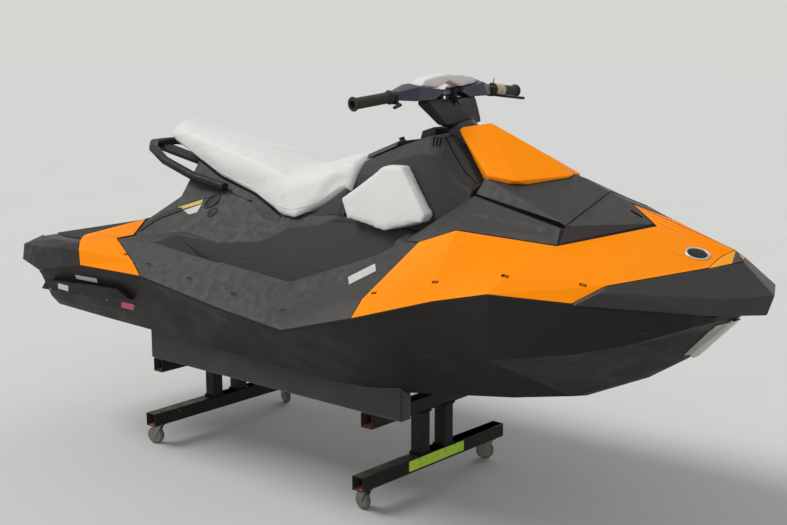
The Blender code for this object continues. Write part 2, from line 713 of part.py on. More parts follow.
# Steering pad: two lobes that meet over the middle, with a notch between their feet.
PAD_SHARES = (
    (18.15, -0.05, 14.17), (18.80, -0.05, 14.17), (18.25, 0.62, 13.93), (18.82, 0.62, 13.93),
    (18.30, 1.55, 14.02), (18.82, 1.52, 14.02), (18.10, -0.05, 14.40), (18.76, -0.05, 14.40),
    (18.14, 0.55, 14.40), (18.80, 0.50, 14.38), (18.28, 1.34, 14.28), (18.80, 1.30, 14.27),
)


def lobe_form(side, room=0):
    """One lobe of the pad, or the same lobe with that much room round it."""
    corners = spots(PAD_SHARES, side)
    middle = sum(corners, Vector()) / len(corners)
    return convex([corner + (corner - middle).normalized() * room for corner in corners])


pad = make("steering_pad", lobe_form(1), "white", STEER_LOW)
join(pad, make("pad_lobe_tool", lobe_form(-1)))

# Bar covers: a shell on the bar for each side, fitted under the pad and over the arm.
COVER_SHARES = (
    (18.90, 0.48, 13.80), (18.90, 0.65, 13.92), (18.92, 1.66, 14.06), (18.90, 0.91, 13.60), (18.92, 1.90, 13.60),
    (18.62, 2.47, 13.90), (18.66, 2.47, 13.64), (18.20, 2.47, 13.88), (18.20, 2.47, 13.64), (18.46, 1.78, 14.15),
    (18.10, 0.48, 13.66), (18.10, 0.60, 13.92), (18.14, 1.75, 14.10), (18.10, 0.91, 13.60), (18.14, 1.90, 13.60),
)
for side_name, side in SIDES:
    cover = make("bar_cover_" + side_name, convex(spots(COVER_SHARES, side)), "navy", STEER_LOW)
    cover_bar_room = make("cover_bar_room_tool_" + side_name, tube(bar_points, BAR_ROOM, BAR_ROOM))
    cut(cover, cover_bar_room, make("pad_room_tool_" + side_name, lobe_form(side, SEAM)))

# Levers: each starts under the bar and runs out in front of the grip.
LEVERS = (
    ("throttle_lever", -1, ((18.5, 2.57), (18.98, 2.78), (19.0, 3.1)), (0.012, 0.07, 0.14)),
    ("brake_lever", 1, ((18.5, 2.57), (18.98, 2.78), (19.0, 3.9)), (0.012, 0.07, 0.20)),
)
LEVER_WIDE = ROUND * 0.12
LEVER_TALL = ROUND * 0.10
lever_height = spot(*BAR_SHARES[1]).z - BAR_RADIUS - LEVER_TALL / 2 - GAP
for lever_name, side, lever_places, lever_drops in LEVERS:
    lever_path = []
    for (x, y), drop in zip(lever_places, lever_drops):
        point = spot(x, y, -drop, side)
        lever_path.append(point + Vector((0, 0, lever_height)))
    make(lever_name, tube(lever_path, LEVER_WIDE, LEVER_TALL), "dark", STEER_LOW)

# Gauge: a housing on the console behind the steering column.
GAUGE_SHARES = (
    (17.95, 0.55, 12.2), (18.6, 0.55, 12.3), (18.0, 0.50, 12.50), (18.5, 0.50, 12.66), (18.6, 0.45, 12.60),
)
gauge = make("gauge", convex(both_sides(GAUGE_SHARES)), "dark")
cut(gauge, console_raised)

# Jet drive. Its places are counted in round units forward, out and up from the
# middle of the jet at the transom.
JET = spot(2.22, 0, 5.10)


def jet_spot(ahead_share, out_share=0, up_share=0, side=1):
    return JET + Vector((ahead_share, side * out_share, up_share)) * ROUND


def jet_box(low_shares, high_shares):
    return box(jet_spot(*low_shares), jet_spot(*high_shares))


TUNNEL_HALF_SHARE = 1.12
TUNNEL_ROOF_SHARE = 1.0
tunnel_half = TUNNEL_HALF_SHARE * ROUND
tunnel_front = spot(9.4, 0, 0).x
cut(hull, make("tunnel_tool", box(
    (JET.x - STATION * 3, -tunnel_half, 0), (tunnel_front, tunnel_half, JET.z + TUNNEL_ROOF_SHARE * ROUND),
)))

# The pump housing tapers to a throat, with a flange at its front and two ears that
# reach back to the nozzle. The shares are radii and lengths in round units.
DUCT_RADIUS = ROUND * 0.78
DUCT_BORE = ROUND * 0.70
THROAT_RADIUS = ROUND * 0.46
THROAT_BORE = ROUND * 0.40
DUCT_FRONT_SHARE = 3.98
HOUSING_LENGTH_SHARES = (2.2, 2.7, 3.4)
duct_end, cone_end, throat_end = (share * ROUND for share in HOUSING_LENGTH_SHARES)
duct_front = jet_spot(DUCT_FRONT_SHARE)
rearward = Vector((-1, 0, 0))
housing = make("pump_housing", turned(duct_front, rearward, [
    (0, DUCT_BORE), (0, DUCT_RADIUS), (duct_end, DUCT_RADIUS), (cone_end, THROAT_RADIUS),
    (throat_end, THROAT_RADIUS), (throat_end, THROAT_BORE), (cone_end, THROAT_BORE), (duct_end, DUCT_BORE),
]), "metal")
FLANGE_THICK = 0.012
FLANGE_LOW_SHARE = -0.81
flange_high = jet_spot(DUCT_FRONT_SHARE, 0, TUNNEL_ROOF_SHARE) + Vector((0, tunnel_half - GAP, -GAP))
flange_low = jet_spot(DUCT_FRONT_SHARE, 0, FLANGE_LOW_SHARE) - Vector((FLANGE_THICK, tunnel_half - GAP, 0))
MOUTH_RADIUS = ROUND * 0.62
MOUTH_BORE = ROUND * 0.57
EXIT_RADIUS = ROUND * 0.43
EAR_WIDE = ROUND * 0.12
EAR_TALL = ROUND * 0.10
EAR_REAR_SHARE = 0.50
EAR_FRONT_SHARE = 3.28
housing_tools = [make("flange_tool", box(flange_low, flange_high))]
for ear_name, ear_side in (("upper", 1), ("lower", -1)):
    heights = sorted(ear_side * (MOUTH_RADIUS + GAP * 2 + rise) for rise in (0, EAR_TALL))
    housing_tools.append(make("ear_tool_" + ear_name, box(
        jet_spot(EAR_REAR_SHARE) + Vector((0, -EAR_WIDE, heights[0])),
        jet_spot(EAR_FRONT_SHARE) + Vector((0, EAR_WIDE, heights[1])),
    )))
GATE_PIVOT = jet_spot(1.68)
PIN_RADIUS = ROUND * 0.09
GATE_IN = ROUND * 0.98
GATE_WALL = 0.005
for side_name, side in SIDES:
    housing_tools.append(make("gate_pin_tool_" + side_name, rod(
        GATE_PIVOT + Vector((0, side * (DUCT_BORE + SHELL), 0)),
        GATE_PIVOT + Vector((0, side * (GATE_IN - GAP), 0)), PIN_RADIUS,
    )))
join(housing, *housing_tools)
cut(housing, make("duct_bore_tool", turned(duct_front - rearward * ROUND, rearward, [
    (0, 0), (0, DUCT_BORE), (ROUND + duct_end, DUCT_BORE), (ROUND + duct_end, 0),
])))

# Impeller: a shaft, a hub and three twisted blades.
SHAFT_RADIUS = ROUND * 0.12
HUB_RADIUS = ROUND * 0.26
HUB_PROFILE_SHARES = ((0, 0.21), (0.28, 0.26), (0.70, 0.26), (0.91, 0))
HUB_FRONT_SHARE = 3.38
BLADE_REACH = DUCT_BORE - RUN
BLADE_ROOT_SHARE = 0.16
BLADE_SPAN_SHARES = (0.07, 0.63)
BLADE_THICK = 0.004
BLADE_COUNT = 3
BLADE_STEPS = 5
BLADE_TURN = math.radians(75)
hub_front = jet_spot(HUB_FRONT_SHARE)
shaft_front = Vector((tunnel_front - GAP, 0, JET.z))
shaft_run = shaft_front.x - hub_front.x
hub_profile = [(shaft_run + along * ROUND, radius * ROUND) for along, radius in HUB_PROFILE_SHARES]
impeller = make("impeller", turned(
    shaft_front, rearward, [(0, 0), (0, SHAFT_RADIUS), (shaft_run, SHAFT_RADIUS)] + hub_profile, 18,
), "metal", hub_front)
for blade in range(BLADE_COUNT):
    rings = []
    for step in range(BLADE_STEPS + 1):
        part = step / BLADE_STEPS
        angle = 2 * math.pi * blade / BLADE_COUNT + BLADE_TURN * part
        along = BLADE_SPAN_SHARES[0] + (BLADE_SPAN_SHARES[1] - BLADE_SPAN_SHARES[0]) * part
        radial = Vector((0, math.cos(angle), math.sin(angle)))
        tangent = Vector((0, -math.sin(angle), math.cos(angle))) * BLADE_THICK
        centre = jet_spot(HUB_FRONT_SHARE - along)
        root = centre + radial * BLADE_ROOT_SHARE * ROUND
        tip = centre + radial * BLADE_REACH
        rings.append([root - tangent, tip - tangent, tip + tangent, root + tangent])
    join(impeller, make("blade_tool_%d" % blade, loft(rings)))

# Steering nozzle: swings about an upright axis on the housing's two ears.
NOZZLE_PIVOT = jet_spot(0.68)
NOZZLE_SHARES = (0.14, 0.35, 1.35)
nozzle_ahead, mouth_length, nozzle_length = (share * ROUND for share in NOZZLE_SHARES)
make("steering_nozzle", turned(NOZZLE_PIVOT - rearward * nozzle_ahead, rearward, [
    (0, MOUTH_BORE), (0, MOUTH_RADIUS), (mouth_length, MOUTH_RADIUS), (nozzle_length, EXIT_RADIUS),
    (nozzle_length, EXIT_RADIUS - RUN), (mouth_length, MOUTH_BORE),
]), "metal", NOZZLE_PIVOT)

# Reverse gate: a curved bucket on two arms that swings down behind the nozzle.
GATE_REACH = ROUND * 2.6
GATE_LOW = math.radians(11)
GATE_HIGH = math.radians(28)
GATE_STEPS = 4
ARM_HALF = ROUND * 0.12


def gate_point(reach, angle, wide):
    return GATE_PIVOT + Vector((-math.cos(angle) * reach, wide, math.sin(angle) * reach))


gate_rings = []
for step in range(GATE_STEPS + 1):
    angle = GATE_LOW + (GATE_HIGH - GATE_LOW) * step / GATE_STEPS
    half = GATE_IN + GATE_WALL
    gate_rings.append([
        gate_point(GATE_REACH, angle, -half), gate_point(GATE_REACH, angle, half),
        gate_point(GATE_REACH - GATE_WALL, angle, half), gate_point(GATE_REACH - GATE_WALL, angle, -half),
    ])
gate = make("reverse_gate", loft(gate_rings), "metal", GATE_PIVOT)
for side_name, side in SIDES:
    corners = []
    for wide in (side * GATE_IN, side * (GATE_IN + GATE_WALL)):
        for x, z in ((1, -1), (1, 1), (-1, -1), (-1, 1)):
            corners.append(GATE_PIVOT + Vector((x * ARM_HALF, wide, z * ARM_HALF)))
        for angle in (GATE_LOW, GATE_HIGH):
            corners.append(gate_point(GATE_REACH - GATE_WALL / 2, angle, wide))
    join(gate, make("gate_arm_tool_" + side_name, convex(corners)))

# Ride plate and intake grate close the tunnel from below.
PLATE_THICK = 0.006
plate_high = flange_low.z - GAP
make("ride_plate", box(
    (JET.x, -tunnel_half + GAP, plate_high - PLATE_THICK), (duct_front.x, tunnel_half - GAP, plate_high),
), "metal")
GRATE_BARS = 5
GRATE_BAR = 0.008
GRATE_SPREAD_SHARE = 0.8
grate_low = Vector((duct_front.x + GAP, -tunnel_half + GAP, plate_high - GRATE_BAR))
grate_high = Vector((tunnel_front - GAP, tunnel_half - GAP, plate_high))
end_bar = GRATE_BAR * 2
grate = make("intake_grate", box(
    grate_low, (grate_low.x + end_bar, grate_high.y, grate_high.z),
), "metal")
join(grate, make("grate_end_tool", box((grate_high.x - end_bar, grate_low.y, grate_low.z), grate_high)))
spread = tunnel_half * GRATE_SPREAD_SHARE
for bar in range(GRATE_BARS):
    middle = -spread + 2 * spread * bar / (GRATE_BARS - 1)
    join(grate, make("grate_bar_tool_%d" % bar, box(
        (grate_low.x + GRATE_BAR, middle - GRATE_BAR / 2, grate_low.z + GAP * 2),
        (grate_high.x - GRATE_BAR, middle + GRATE_BAR / 2, grate_high.z - GAP * 2),
    )))

# Sponsons on the hull's rear flanks.
SPONSON_SHARES = (
    (2.6, 5.25, 5.75), (6.8, 5.45, 5.95), (8.2, 5.30, 6.10), (7.6, 5.45, 6.45), (3.0, 5.30, 6.15),
    (2.6, 4.4, 5.75), (6.8, 4.4, 5.95), (8.2, 4.6, 6.10), (7.6, 4.6, 6.45), (3.0, 4.4, 6.15),
)
for side_name, side in SIDES:
    flank = make("sponson_bed_tool_" + side_name, hull_form())
    flank.location.y = side * GAP
    cut(make("sponson_" + side_name, convex(spots(SPONSON_SHARES, side)), "dark"), flank)

# Bow strip: a metal plate up the stem.
STEM_SHARES = ((28.14, 0.2, 6.36), (29.43, 0.2, 7.68), (29.0, 0.2, 7.72), (27.9, 0.2, 6.60))
stem_bed = make("stem_bed_tool", hull_form())
stem_bed.location.x = GAP
cut(make("bow_strip", convex(both_sides(STEM_SHARES)), "metal"), stem_bed)

# Stand: two upright frames of square tube, two bunk boards, four casters. The
# posts are a seam narrower than the beams they are welded between.
TUBE = 0.05
TUBE_WALL = 0.003
OPEN_SHARE = 1.5
BEAM_REACH_SHARE = 3.9
UPPER_REACH_SHARE = 3.45
STAND_SHARES = (("rear", 7.38), ("front", 18.08))
LOWER_SHARE = 0.80
UPPER_SHARE = 2.87
POST_SHARE = 0.65
BUNK_SHARES = ((7.0, 2.95, 0.0), (19.6, 3.45, 4.9))
lower_base = LOWER_SHARE * WATERLINE
upper_base = UPPER_SHARE * WATERLINE
reach = BEAM_REACH_SHARE * BUTTOCK
upper_reach = UPPER_REACH_SHARE * BUTTOCK
post_half = TUBE / 2 - SEAM
for stand_name, stand_share in STAND_SHARES:
    middle = spot(stand_share, 0, 0).x
    rear = middle - TUBE / 2
    front = middle + TUBE / 2
    stand = make("stand_" + stand_name, box(
        (rear, -reach, lower_base), (front, reach, lower_base + TUBE),
    ), "frame")
    join(stand, make("upper_tool_" + stand_name, box(
        (rear, -upper_reach, upper_base), (front, upper_reach, upper_base + TUBE),
    )))
    for side_name, side in SIDES:
        post = POST_SHARE * BUTTOCK * side
        join(stand, make("post_tool_%s_%s" % (stand_name, side_name), box(
            (middle - post_half, post - post_half, lower_base + TUBE / 2),
            (middle + post_half, post + post_half, upper_base + TUBE / 2),
        )))
    for side_name, side in SIDES:
        for level_name, level, span in (("lower", lower_base, reach), ("upper", upper_base, upper_reach)):
            ends = sorted((side * (span + TUBE), side * (span - TUBE * OPEN_SHARE)))
            cut(stand, make("hollow_tool_%s_%s_%s" % (stand_name, side_name, level_name), box(
                (rear + TUBE_WALL, ends[0], level + TUBE_WALL),
                (front - TUBE_WALL, ends[1], level + TUBE - TUBE_WALL),
            )))

bunk_low, bunk_high = spots(BUNK_SHARES)
hull_lowered = make("bunk_bed_tool", hull_form(GAP))
for side_name, side in SIDES:
    wides = sorted((side * bunk_low.y, side * bunk_high.y))
    bunk = make("bunk_" + side_name, box(
        (bunk_low.x, wides[0], upper_base + TUBE + GAP), (bunk_high.x, wides[1], bunk_high.z),
    ), "wood")
    cut(bunk, hull_lowered)

# Casters: each a swivelling fork with a wheel, trailing as they were left. Their
# sizes are fixed parts of the room under the lower beam.
WHEEL_RADIUS = lower_base * 0.4125
WHEEL_WIDE = lower_base * 0.275
WHEEL_PROFILE_SHARES = ((0, 0.85), (0.2, 1), (0.8, 1), (1, 0.85))
TRAIL = lower_base * 0.25
FORK_WALL = lower_base * 0.0375
PLATE_WIDE = lower_base * 0.55
LEG_SHARES = (0.3, 0.12)
AXLE_RADIUS = lower_base * 0.05
CASTER_SHARE = 3.45
CASTER_TURNS = (
    ("rear", "starboard", 200), ("rear", "port", 160), ("front", "starboard", 170), ("front", "port", 215),
)
stand_places = dict(STAND_SHARES)
side_signs = dict(SIDES)
leg_top, leg_foot = (share * PLATE_WIDE for share in LEG_SHARES)
for stand_name, side_name, degrees in CASTER_TURNS:
    label = stand_name + "_" + side_name
    pivot = spot(stand_places[stand_name], CASTER_SHARE, LOWER_SHARE, side_signs[side_name])
    turn = math.radians(degrees)
    trail_way = Vector((math.cos(turn), math.sin(turn), 0))
    axle_way = Vector((-math.sin(turn), math.cos(turn), 0))
    hub = Vector((pivot.x, pivot.y, WHEEL_RADIUS)) + trail_way * TRAIL
    half_axle = WHEEL_WIDE / 2 + GAP
    fork_half = half_axle + FORK_WALL
    fork_top = pivot - Vector((0, 0, GAP))
    fork = make("caster_fork_" + label, turned(
        fork_top, Vector((0, 0, -1)),
        [(0, 0), (0, PLATE_WIDE / 2), (FORK_WALL, PLATE_WIDE / 2), (FORK_WALL, 0)], 18,
    ), "metal", pivot)
    for leg_side in (-1, 1):
        corners = []
        for wide in (half_axle + GAP, fork_half):
            shift = axle_way * (leg_side * wide)
            for ahead in (-1, 1):
                top = fork_top - Vector((0, 0, FORK_WALL / 2))
                corners.append(top + trail_way * (ahead * leg_top) + shift)
                corners.append(hub - Vector((0, 0, AXLE_RADIUS * 2)) + trail_way * (ahead * leg_foot) + shift)
        join(fork, make("leg_tool_%s_%d" % (label, leg_side), convex(corners)))
    axle = rod(hub - axle_way * fork_half, hub + axle_way * fork_half, AXLE_RADIUS)
    join(fork, make("axle_tool_" + label, axle))
    bore = AXLE_RADIUS + GAP * 2
    tread = [(along * WHEEL_WIDE, radius * WHEEL_RADIUS) for along, radius in WHEEL_PROFILE_SHARES]
    make("caster_wheel_" + label, turned(
        hub - axle_way * (WHEEL_WIDE / 2), axle_way, [(0, bore)] + tread + [(WHEEL_WIDE, bore)],
    ), "rubber", hub)
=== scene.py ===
import math

import bpy
from mathutils import Matrix, Vector
from mathutils.bvhtree import BVHTree


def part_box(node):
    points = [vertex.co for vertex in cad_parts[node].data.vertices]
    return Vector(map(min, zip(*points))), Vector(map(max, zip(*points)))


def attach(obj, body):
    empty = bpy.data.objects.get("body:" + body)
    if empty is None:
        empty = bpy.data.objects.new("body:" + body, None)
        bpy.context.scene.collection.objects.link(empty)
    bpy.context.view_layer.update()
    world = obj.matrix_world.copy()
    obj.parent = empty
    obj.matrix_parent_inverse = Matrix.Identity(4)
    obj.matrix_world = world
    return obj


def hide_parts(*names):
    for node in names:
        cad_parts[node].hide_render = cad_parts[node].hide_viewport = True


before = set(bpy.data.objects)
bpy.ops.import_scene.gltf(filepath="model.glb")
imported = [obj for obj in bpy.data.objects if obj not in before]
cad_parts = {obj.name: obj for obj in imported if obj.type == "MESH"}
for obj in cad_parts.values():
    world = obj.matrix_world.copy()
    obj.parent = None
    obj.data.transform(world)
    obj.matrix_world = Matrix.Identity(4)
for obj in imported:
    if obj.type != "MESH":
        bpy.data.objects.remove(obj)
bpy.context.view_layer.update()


# The rear and front legs of the stand. Each is a lower cross beam, two short posts and an upper
# cross beam of 50 mm square steel tube, welded and painted black. The open tube ends have gone
# rusty inside, and a strip of bright tape is stuck across the front beam.

def release():
    if bpy.context.object and bpy.context.object.mode != "OBJECT":
        bpy.ops.object.mode_set(mode="OBJECT")
    bpy.ops.object.select_all(action="DESELECT")


def hold(piece):
    release()
    piece.select_set(True)
    bpy.context.view_layer.objects.active = piece


def open_mesh():
    bpy.ops.object.mode_set(mode="EDIT")


def close_mesh():
    bpy.ops.object.mode_set(mode="OBJECT")


def apply_place():
    bpy.ops.object.transform_apply(location=True, rotation=True, scale=True)


def treat(piece, kind, **settings):
    """Finishes a piece with a modifier of the kind and settings given."""
    step = piece.modifiers.new(kind.lower(), kind)
    for setting, value in settings.items():
        setattr(step, setting, value)
    hold(piece)
    bpy.ops.object.modifier_apply(modifier=step.name)


DOUBLES_GAP = 0.00002
FLAT_ANGLE = math.radians(0.7)


def copy_solid(node, name):
    """A copy of a solid's mesh with its triangles joined to whole faces."""
    piece = bpy.data.objects.new(name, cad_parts[node].data.copy())
    bpy.context.scene.collection.objects.link(piece)
    hold(piece)
    open_mesh()
    bpy.ops.mesh.select_all(action="SELECT")
    bpy.ops.mesh.remove_doubles(threshold=DOUBLES_GAP)
    bpy.ops.mesh.dissolve_limited(angle_limit=FLAT_ANGLE)
    close_mesh()
    return piece


def surface_of(*pieces):
    points, faces = [], []
    for piece in pieces:
        first = len(points)
        points += [point.co.copy() for point in piece.data.vertices]
        faces += [[first + corner for corner in face.vertices] for face in piece.data.polygons]
    return BVHTree.FromPolygons(points, faces)


def ease_edges(piece, width, steps=2, over=18, stray=1.1):
    """Rounds the edges over an angle, and brings back points that stray from the old surface."""
    skin = surface_of(piece)
    treat(
        piece, "BEVEL", width=width, segments=steps, limit_method="ANGLE",
        angle_limit=math.radians(over), use_clamp_overlap=False,
    )
    for point in piece.data.vertices:
        near, _, _, gap = skin.find_nearest(point.co)
        if gap > width * stray:
            point.co = near


def fit_piece(piece, body, finish, smooth=32, weigh=False):
    """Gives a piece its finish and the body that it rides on."""
    piece.data.materials.clear()
    piece.data.materials.append(finish.material)
    hold(piece)
    bpy.ops.object.shade_smooth_by_angle(angle=math.radians(smooth))
    if weigh:
        treat(piece, "WEIGHTED_NORMAL", keep_sharp=True)
    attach(piece, body)


def dress(node, name, body, finish, width, steps=2, over=18):
    """Puts a copy with rounded edges and a finish in the place of a solid."""
    piece = copy_solid(node, name)
    ease_edges(piece, width, steps, over)
    fit_piece(piece, body, finish, weigh=True)
    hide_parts(node)
    return piece


HALF_LENGTH = 1.525


def spot(station, buttock, waterline, side=1):
    """Decimetres ahead of the stern, out from the centre to a side and above the floor."""
    return Vector((station / 10 - HALF_LENGTH, buttock * side / 10, waterline / 10))


def line_of(places, side=1):
    return [spot(*place, side) for place in places]


def screen(red, green, blue):
    """A colour as a screen shows it, turned into the light value that a shader takes."""
    return tuple(((part / 255 + 0.055) / 1.055) ** 2.4 for part in (red, green, blue)) + (1.0,)


class Finish:
    """A material mixed from noise, wear and relief that keep their place on the piece."""

    def __init__(self, name, roughness, metallic=0.0, shine=0.5):
        self.material = bpy.data.materials.new(name)
        self.material.use_nodes = True
        self.tree = self.material.node_tree
        self.sockets = self.tree.nodes["Principled BSDF"].inputs
        self.sockets["Roughness"].default_value = roughness
        self.sockets["Metallic"].default_value = metallic
        self.sockets["Specular IOR Level"].default_value = shine
        self.place = self.tree.nodes.new("ShaderNodeTexCoord").outputs["Object"]

    def texture(self, kind, scale, place):
        pattern = self.tree.nodes.new("ShaderNodeTex" + kind)
        pattern.inputs["Scale"].default_value = scale
        self.tree.links.new(place, pattern.inputs["Vector"])
        return pattern

    def mottle(self, scale, detail=4, stretch=None):
        place = self.place
        if stretch:
            mapping = self.tree.nodes.new("ShaderNodeMapping")
            mapping.inputs["Scale"].default_value = stretch
            self.tree.links.new(place, mapping.inputs["Vector"])
            place = mapping.outputs["Vector"]
        noise = self.texture("Noise", scale, place)
        noise.inputs["Detail"].default_value = detail
        return noise.outputs["Fac"]

    def between(self, value, low, high, first=0.0, second=1.0):
        span = self.tree.nodes.new("ShaderNodeMapRange")
        self.tree.links.new(value, span.inputs["Value"])
        for socket, number in zip(("From Min", "From Max", "To Min", "To Max"), (low, high, first, second)):
            span.inputs[socket].default_value = number
        return span.outputs["Result"]

    def rubbed_edges(self, low, high):
        shape = self.tree.nodes.new("ShaderNodeNewGeometry")
        return self.between(shape.outputs["Pointiness"], low, high)

    def facing_up(self, low, high):
        shape = self.tree.nodes.new("ShaderNodeNewGeometry")
        split = self.tree.nodes.new("ShaderNodeSeparateXYZ")
        self.tree.links.new(shape.outputs["Normal"], split.inputs[0])
        return self.between(split.outputs["Z"], low, high)

    def cover(self, amount, colour, under=None):
        """Lays a colour over the one there, or over the first one given."""
        mix = self.tree.nodes.new("ShaderNodeMix")
        mix.data_type = "RGBA"
        self.tree.links.new(amount, mix.inputs[0])
        if under:
            mix.inputs[6].default_value = screen(*under)
        else:
            self.tree.links.new(self.sockets["Base Color"].links[0].from_socket, mix.inputs[6])
        mix.inputs[7].default_value = screen(*colour)
        self.tree.links.new(mix.outputs[2], self.sockets["Base Color"])

    def tones(self, grain, first, second):
        """Two colours that noise of a scale and detail blends."""
        self.cover(self.mottle(*grain), second, first)

    def patches(self, grain, low, high, strength, colour):
        self.cover(self.between(self.mottle(*grain), low, high, 0.0, strength), colour)

    def rub(self, low, high, colour):
        self.cover(self.rubbed_edges(low, high), colour)

    def gather(self, where, grain, low, high, first, second, colour):
        """Lays a colour in patches of noise, only where another pattern lets it."""
        product = self.tree.nodes.new("ShaderNodeMath")
        product.operation = "MULTIPLY"
        self.tree.links.new(where, product.inputs[0])
        self.tree.links.new(self.between(self.mottle(*grain), low, high, first, second), product.inputs[1])
        self.cover(product.outputs[0], colour)

    def gloss(self, grain, first, second):
        """Roughness between two values, by noise."""
        shine = self.between(self.mottle(*grain), 0.3, 0.7, first, second)
        self.tree.links.new(shine, self.sockets["Roughness"])

    def relief(self, height, depth):
        """Raises the surface by a pattern, or by noise where a scale and detail are given."""
        bump = self.tree.nodes.new("ShaderNodeBump")
        bump.inputs["Distance"].default_value = depth
        if isinstance(height, tuple):
            height = self.mottle(*height)
        self.tree.links.new(height, bump.inputs["Height"])
        if self.sockets["Normal"].is_linked:
            self.tree.links.new(self.sockets["Normal"].links[0].from_socket, bump.inputs["Normal"])
        self.tree.links.new(bump.outputs["Normal"], self.sockets["Normal"])


STEEL = Finish("painted_steel", 0.42, shine=0.2)
STEEL.tones((7,), (17, 16, 14), (38, 36, 33))
STEEL.patches((38, 9), 0.66, 0.70, 0.8, (92, 62, 44))
STEEL.gather(STEEL.rubbed_edges(0.58, 0.72), (60, 6), 0.5, 0.6, 0.0, 0.6, (104, 92, 80))
STEEL.gather(STEEL.facing_up(0.6, 1.0), (12, 8), 0.35, 0.7, 0.15, 0.75, (98, 88, 76))
STEEL.gloss((26, 5), 0.30, 0.62)
STEEL.relief((260, 5), 0.0005)

RUST = Finish("rusty_bore", 0.9)
RUST.tones((55, 8), (34, 24, 18), (58, 38, 26))
RUST.gather(RUST.facing_up(0.5, 0.9), (30, 6), 0.3, 0.6, 0.3, 1.0, (176, 112, 66))
RUST.relief((400, 8), 0.0012)

TUBE = 0.050
BORE_MARGIN = 0.0028
BORE_START = 0.26
BEAM_HEIGHTS = (0.105, 0.312)
REAR_LEG = -0.787
FRONT_LEG = 0.283
legs = {}
for node, name, along in (("stand_rear", "rear_leg", REAR_LEG), ("stand_front", "front_leg", FRONT_LEG)):
    leg = dress(node, name, "craft", STEEL, 0.003, over=30)
    legs[node] = leg
    leg.data.materials.append(RUST.material)
    for face in leg.data.polygons:
        middle = face.center
        for height in BEAM_HEIGHTS:
            inside = max(abs(middle.x - along), abs(middle.z - height)) < TUBE / 2 - BORE_MARGIN
            if inside and abs(middle.y) > BORE_START and abs(face.normal.y) < 0.5:
                face.material_index = 1


PRESS_FROM = 0.03
PRESS_REACH = 0.08


def lay_sheet(name, first_side, second_side, under, out, lift, thick, columns=4, run=6):
    """A thin sheet between two lines of points, pressed from outside on what lies under it."""
    release()
    spans = len(first_side) - 1
    bpy.ops.mesh.primitive_grid_add(x_subdivisions=spans * run, y_subdivisions=columns, size=1)
    sheet = bpy.context.object
    sheet.name = name
    out = Vector(out).normalized()
    skin = surface_of(*under)
    for point in sheet.data.vertices:
        along = (point.co.x + 0.5) * spans
        step = min(int(along), spans - 1)
        first = first_side[step].lerp(first_side[step + 1], along - step)
        second = second_side[step].lerp(second_side[step + 1], along - step)
        place = first.lerp(second, point.co.y + 0.5)
        landing, slope, _, _ = skin.ray_cast(place + out * PRESS_FROM, -out, PRESS_REACH)
        point.co = landing + slope * lift if landing else place
    if sheet.data.polygons[len(sheet.data.polygons) // 2].normal.dot(out) < 0:
        sheet.data.flip_normals()
    treat(sheet, "SOLIDIFY", thickness=thick, offset=1)
    return sheet


CREASES = (1, 0.4, 3)
TAPE_FILM = Finish("bright_tape", 0.42, shine=0.3)
TAPE_FILM.tones((30, 6), (204, 244, 76), (186, 230, 62))
# The darker green streaks along the creases are painted shade in the folds.
TAPE_FILM.patches((90, 8, CREASES), 0.56, 0.62, 0.5, (96, 128, 40))
TAPE_FILM.relief((120, 6, CREASES), 0.0008)
tape = lay_sheet(
    "blank_tape",
    line_of(((18.33, -1.55, 1.252), (18.33, 0, 1.262), (18.33, 1.50, 1.248))),
    line_of(((18.33, -1.55, 0.885), (18.33, 0, 0.88), (18.33, 1.50, 0.89))),
    [legs["stand_front"]], (1, 0, 0), lift=0.0003, thick=0.0004,
)
fit_piece(tape, "craft", TAPE_FILM)


# The weld beads round the feet and heads of the posts. Each is a run of steel a few millimetres
# thick with the ripples of hand welding, painted over with the tube.

BEAD_HEIGHT = 0.007
RIPPLE_DEPTH = 0.0012
RIPPLE_TURNS = 1400


def weld_round(name, along, across, height, side):
    release()
    bpy.ops.mesh.primitive_cube_add(size=1, location=(along, across, height))
    bead = bpy.context.object
    bead.name = name
    bead.scale = (side, side, BEAD_HEIGHT)
    apply_place()
    open_mesh()
    bpy.ops.mesh.subdivide(number_cuts=14)
    bpy.ops.mesh.bevel(offset=0.0008, segments=1, affect="EDGES")
    close_mesh()
    for point in bead.data.vertices:
        out = Vector((point.co.x - along, point.co.y - across, 0))
        ripple = 0.5 + 0.5 * math.cos((out.x + out.y) * RIPPLE_TURNS)
        if out.length > side * 0.46:
            point.co += out.normalized() * RIPPLE_DEPTH * ripple
    return bead


SIDES = {"starboard": -1, "port": 1}
POST_ACROSS = 0.065
BEAD_SIDE = 0.056
for leg_name, along in (("rear", REAR_LEG), ("front", FRONT_LEG)):
    for side_name, side in SIDES.items():
        for end_name, height in (("foot", 0.1325), ("head", 0.2845)):
            name = f"weld_{leg_name}_{side_name}_{end_name}"
            bead = weld_round(name, along, POST_ACROSS * side, height, BEAD_SIDE)
            fit_piece(bead, "craft", STEEL)


# The two bunks that the hull lies on. Each is a timber rail wrapped in black marine carpet,
# which is stapled along its lower edge.

CARPET = Finish("marine_carpet", 0.95, shine=0.1)
CARPET.tones((420, 3), (14, 13, 13), (46, 44, 42))
CARPET.patches((9, 5), 0.5, 0.75, 0.55, (66, 60, 54))
CARPET.sockets["Sheen Weight"].default_value = 0.35
CARPET.sockets["Sheen Roughness"].default_value = 0.6
CARPET.relief((520, 4), 0.0022)
for side_name in SIDES:
    bunk = f"bunk_{side_name}"
    dress(bunk, "carpet_" + bunk, "craft", CARPET, 0.006, steps=3, over=30)


# The four casters. A pressed steel fork turns under a ball race, and a grey rubber wheel with a
# steel hub runs on a bolt through the fork.

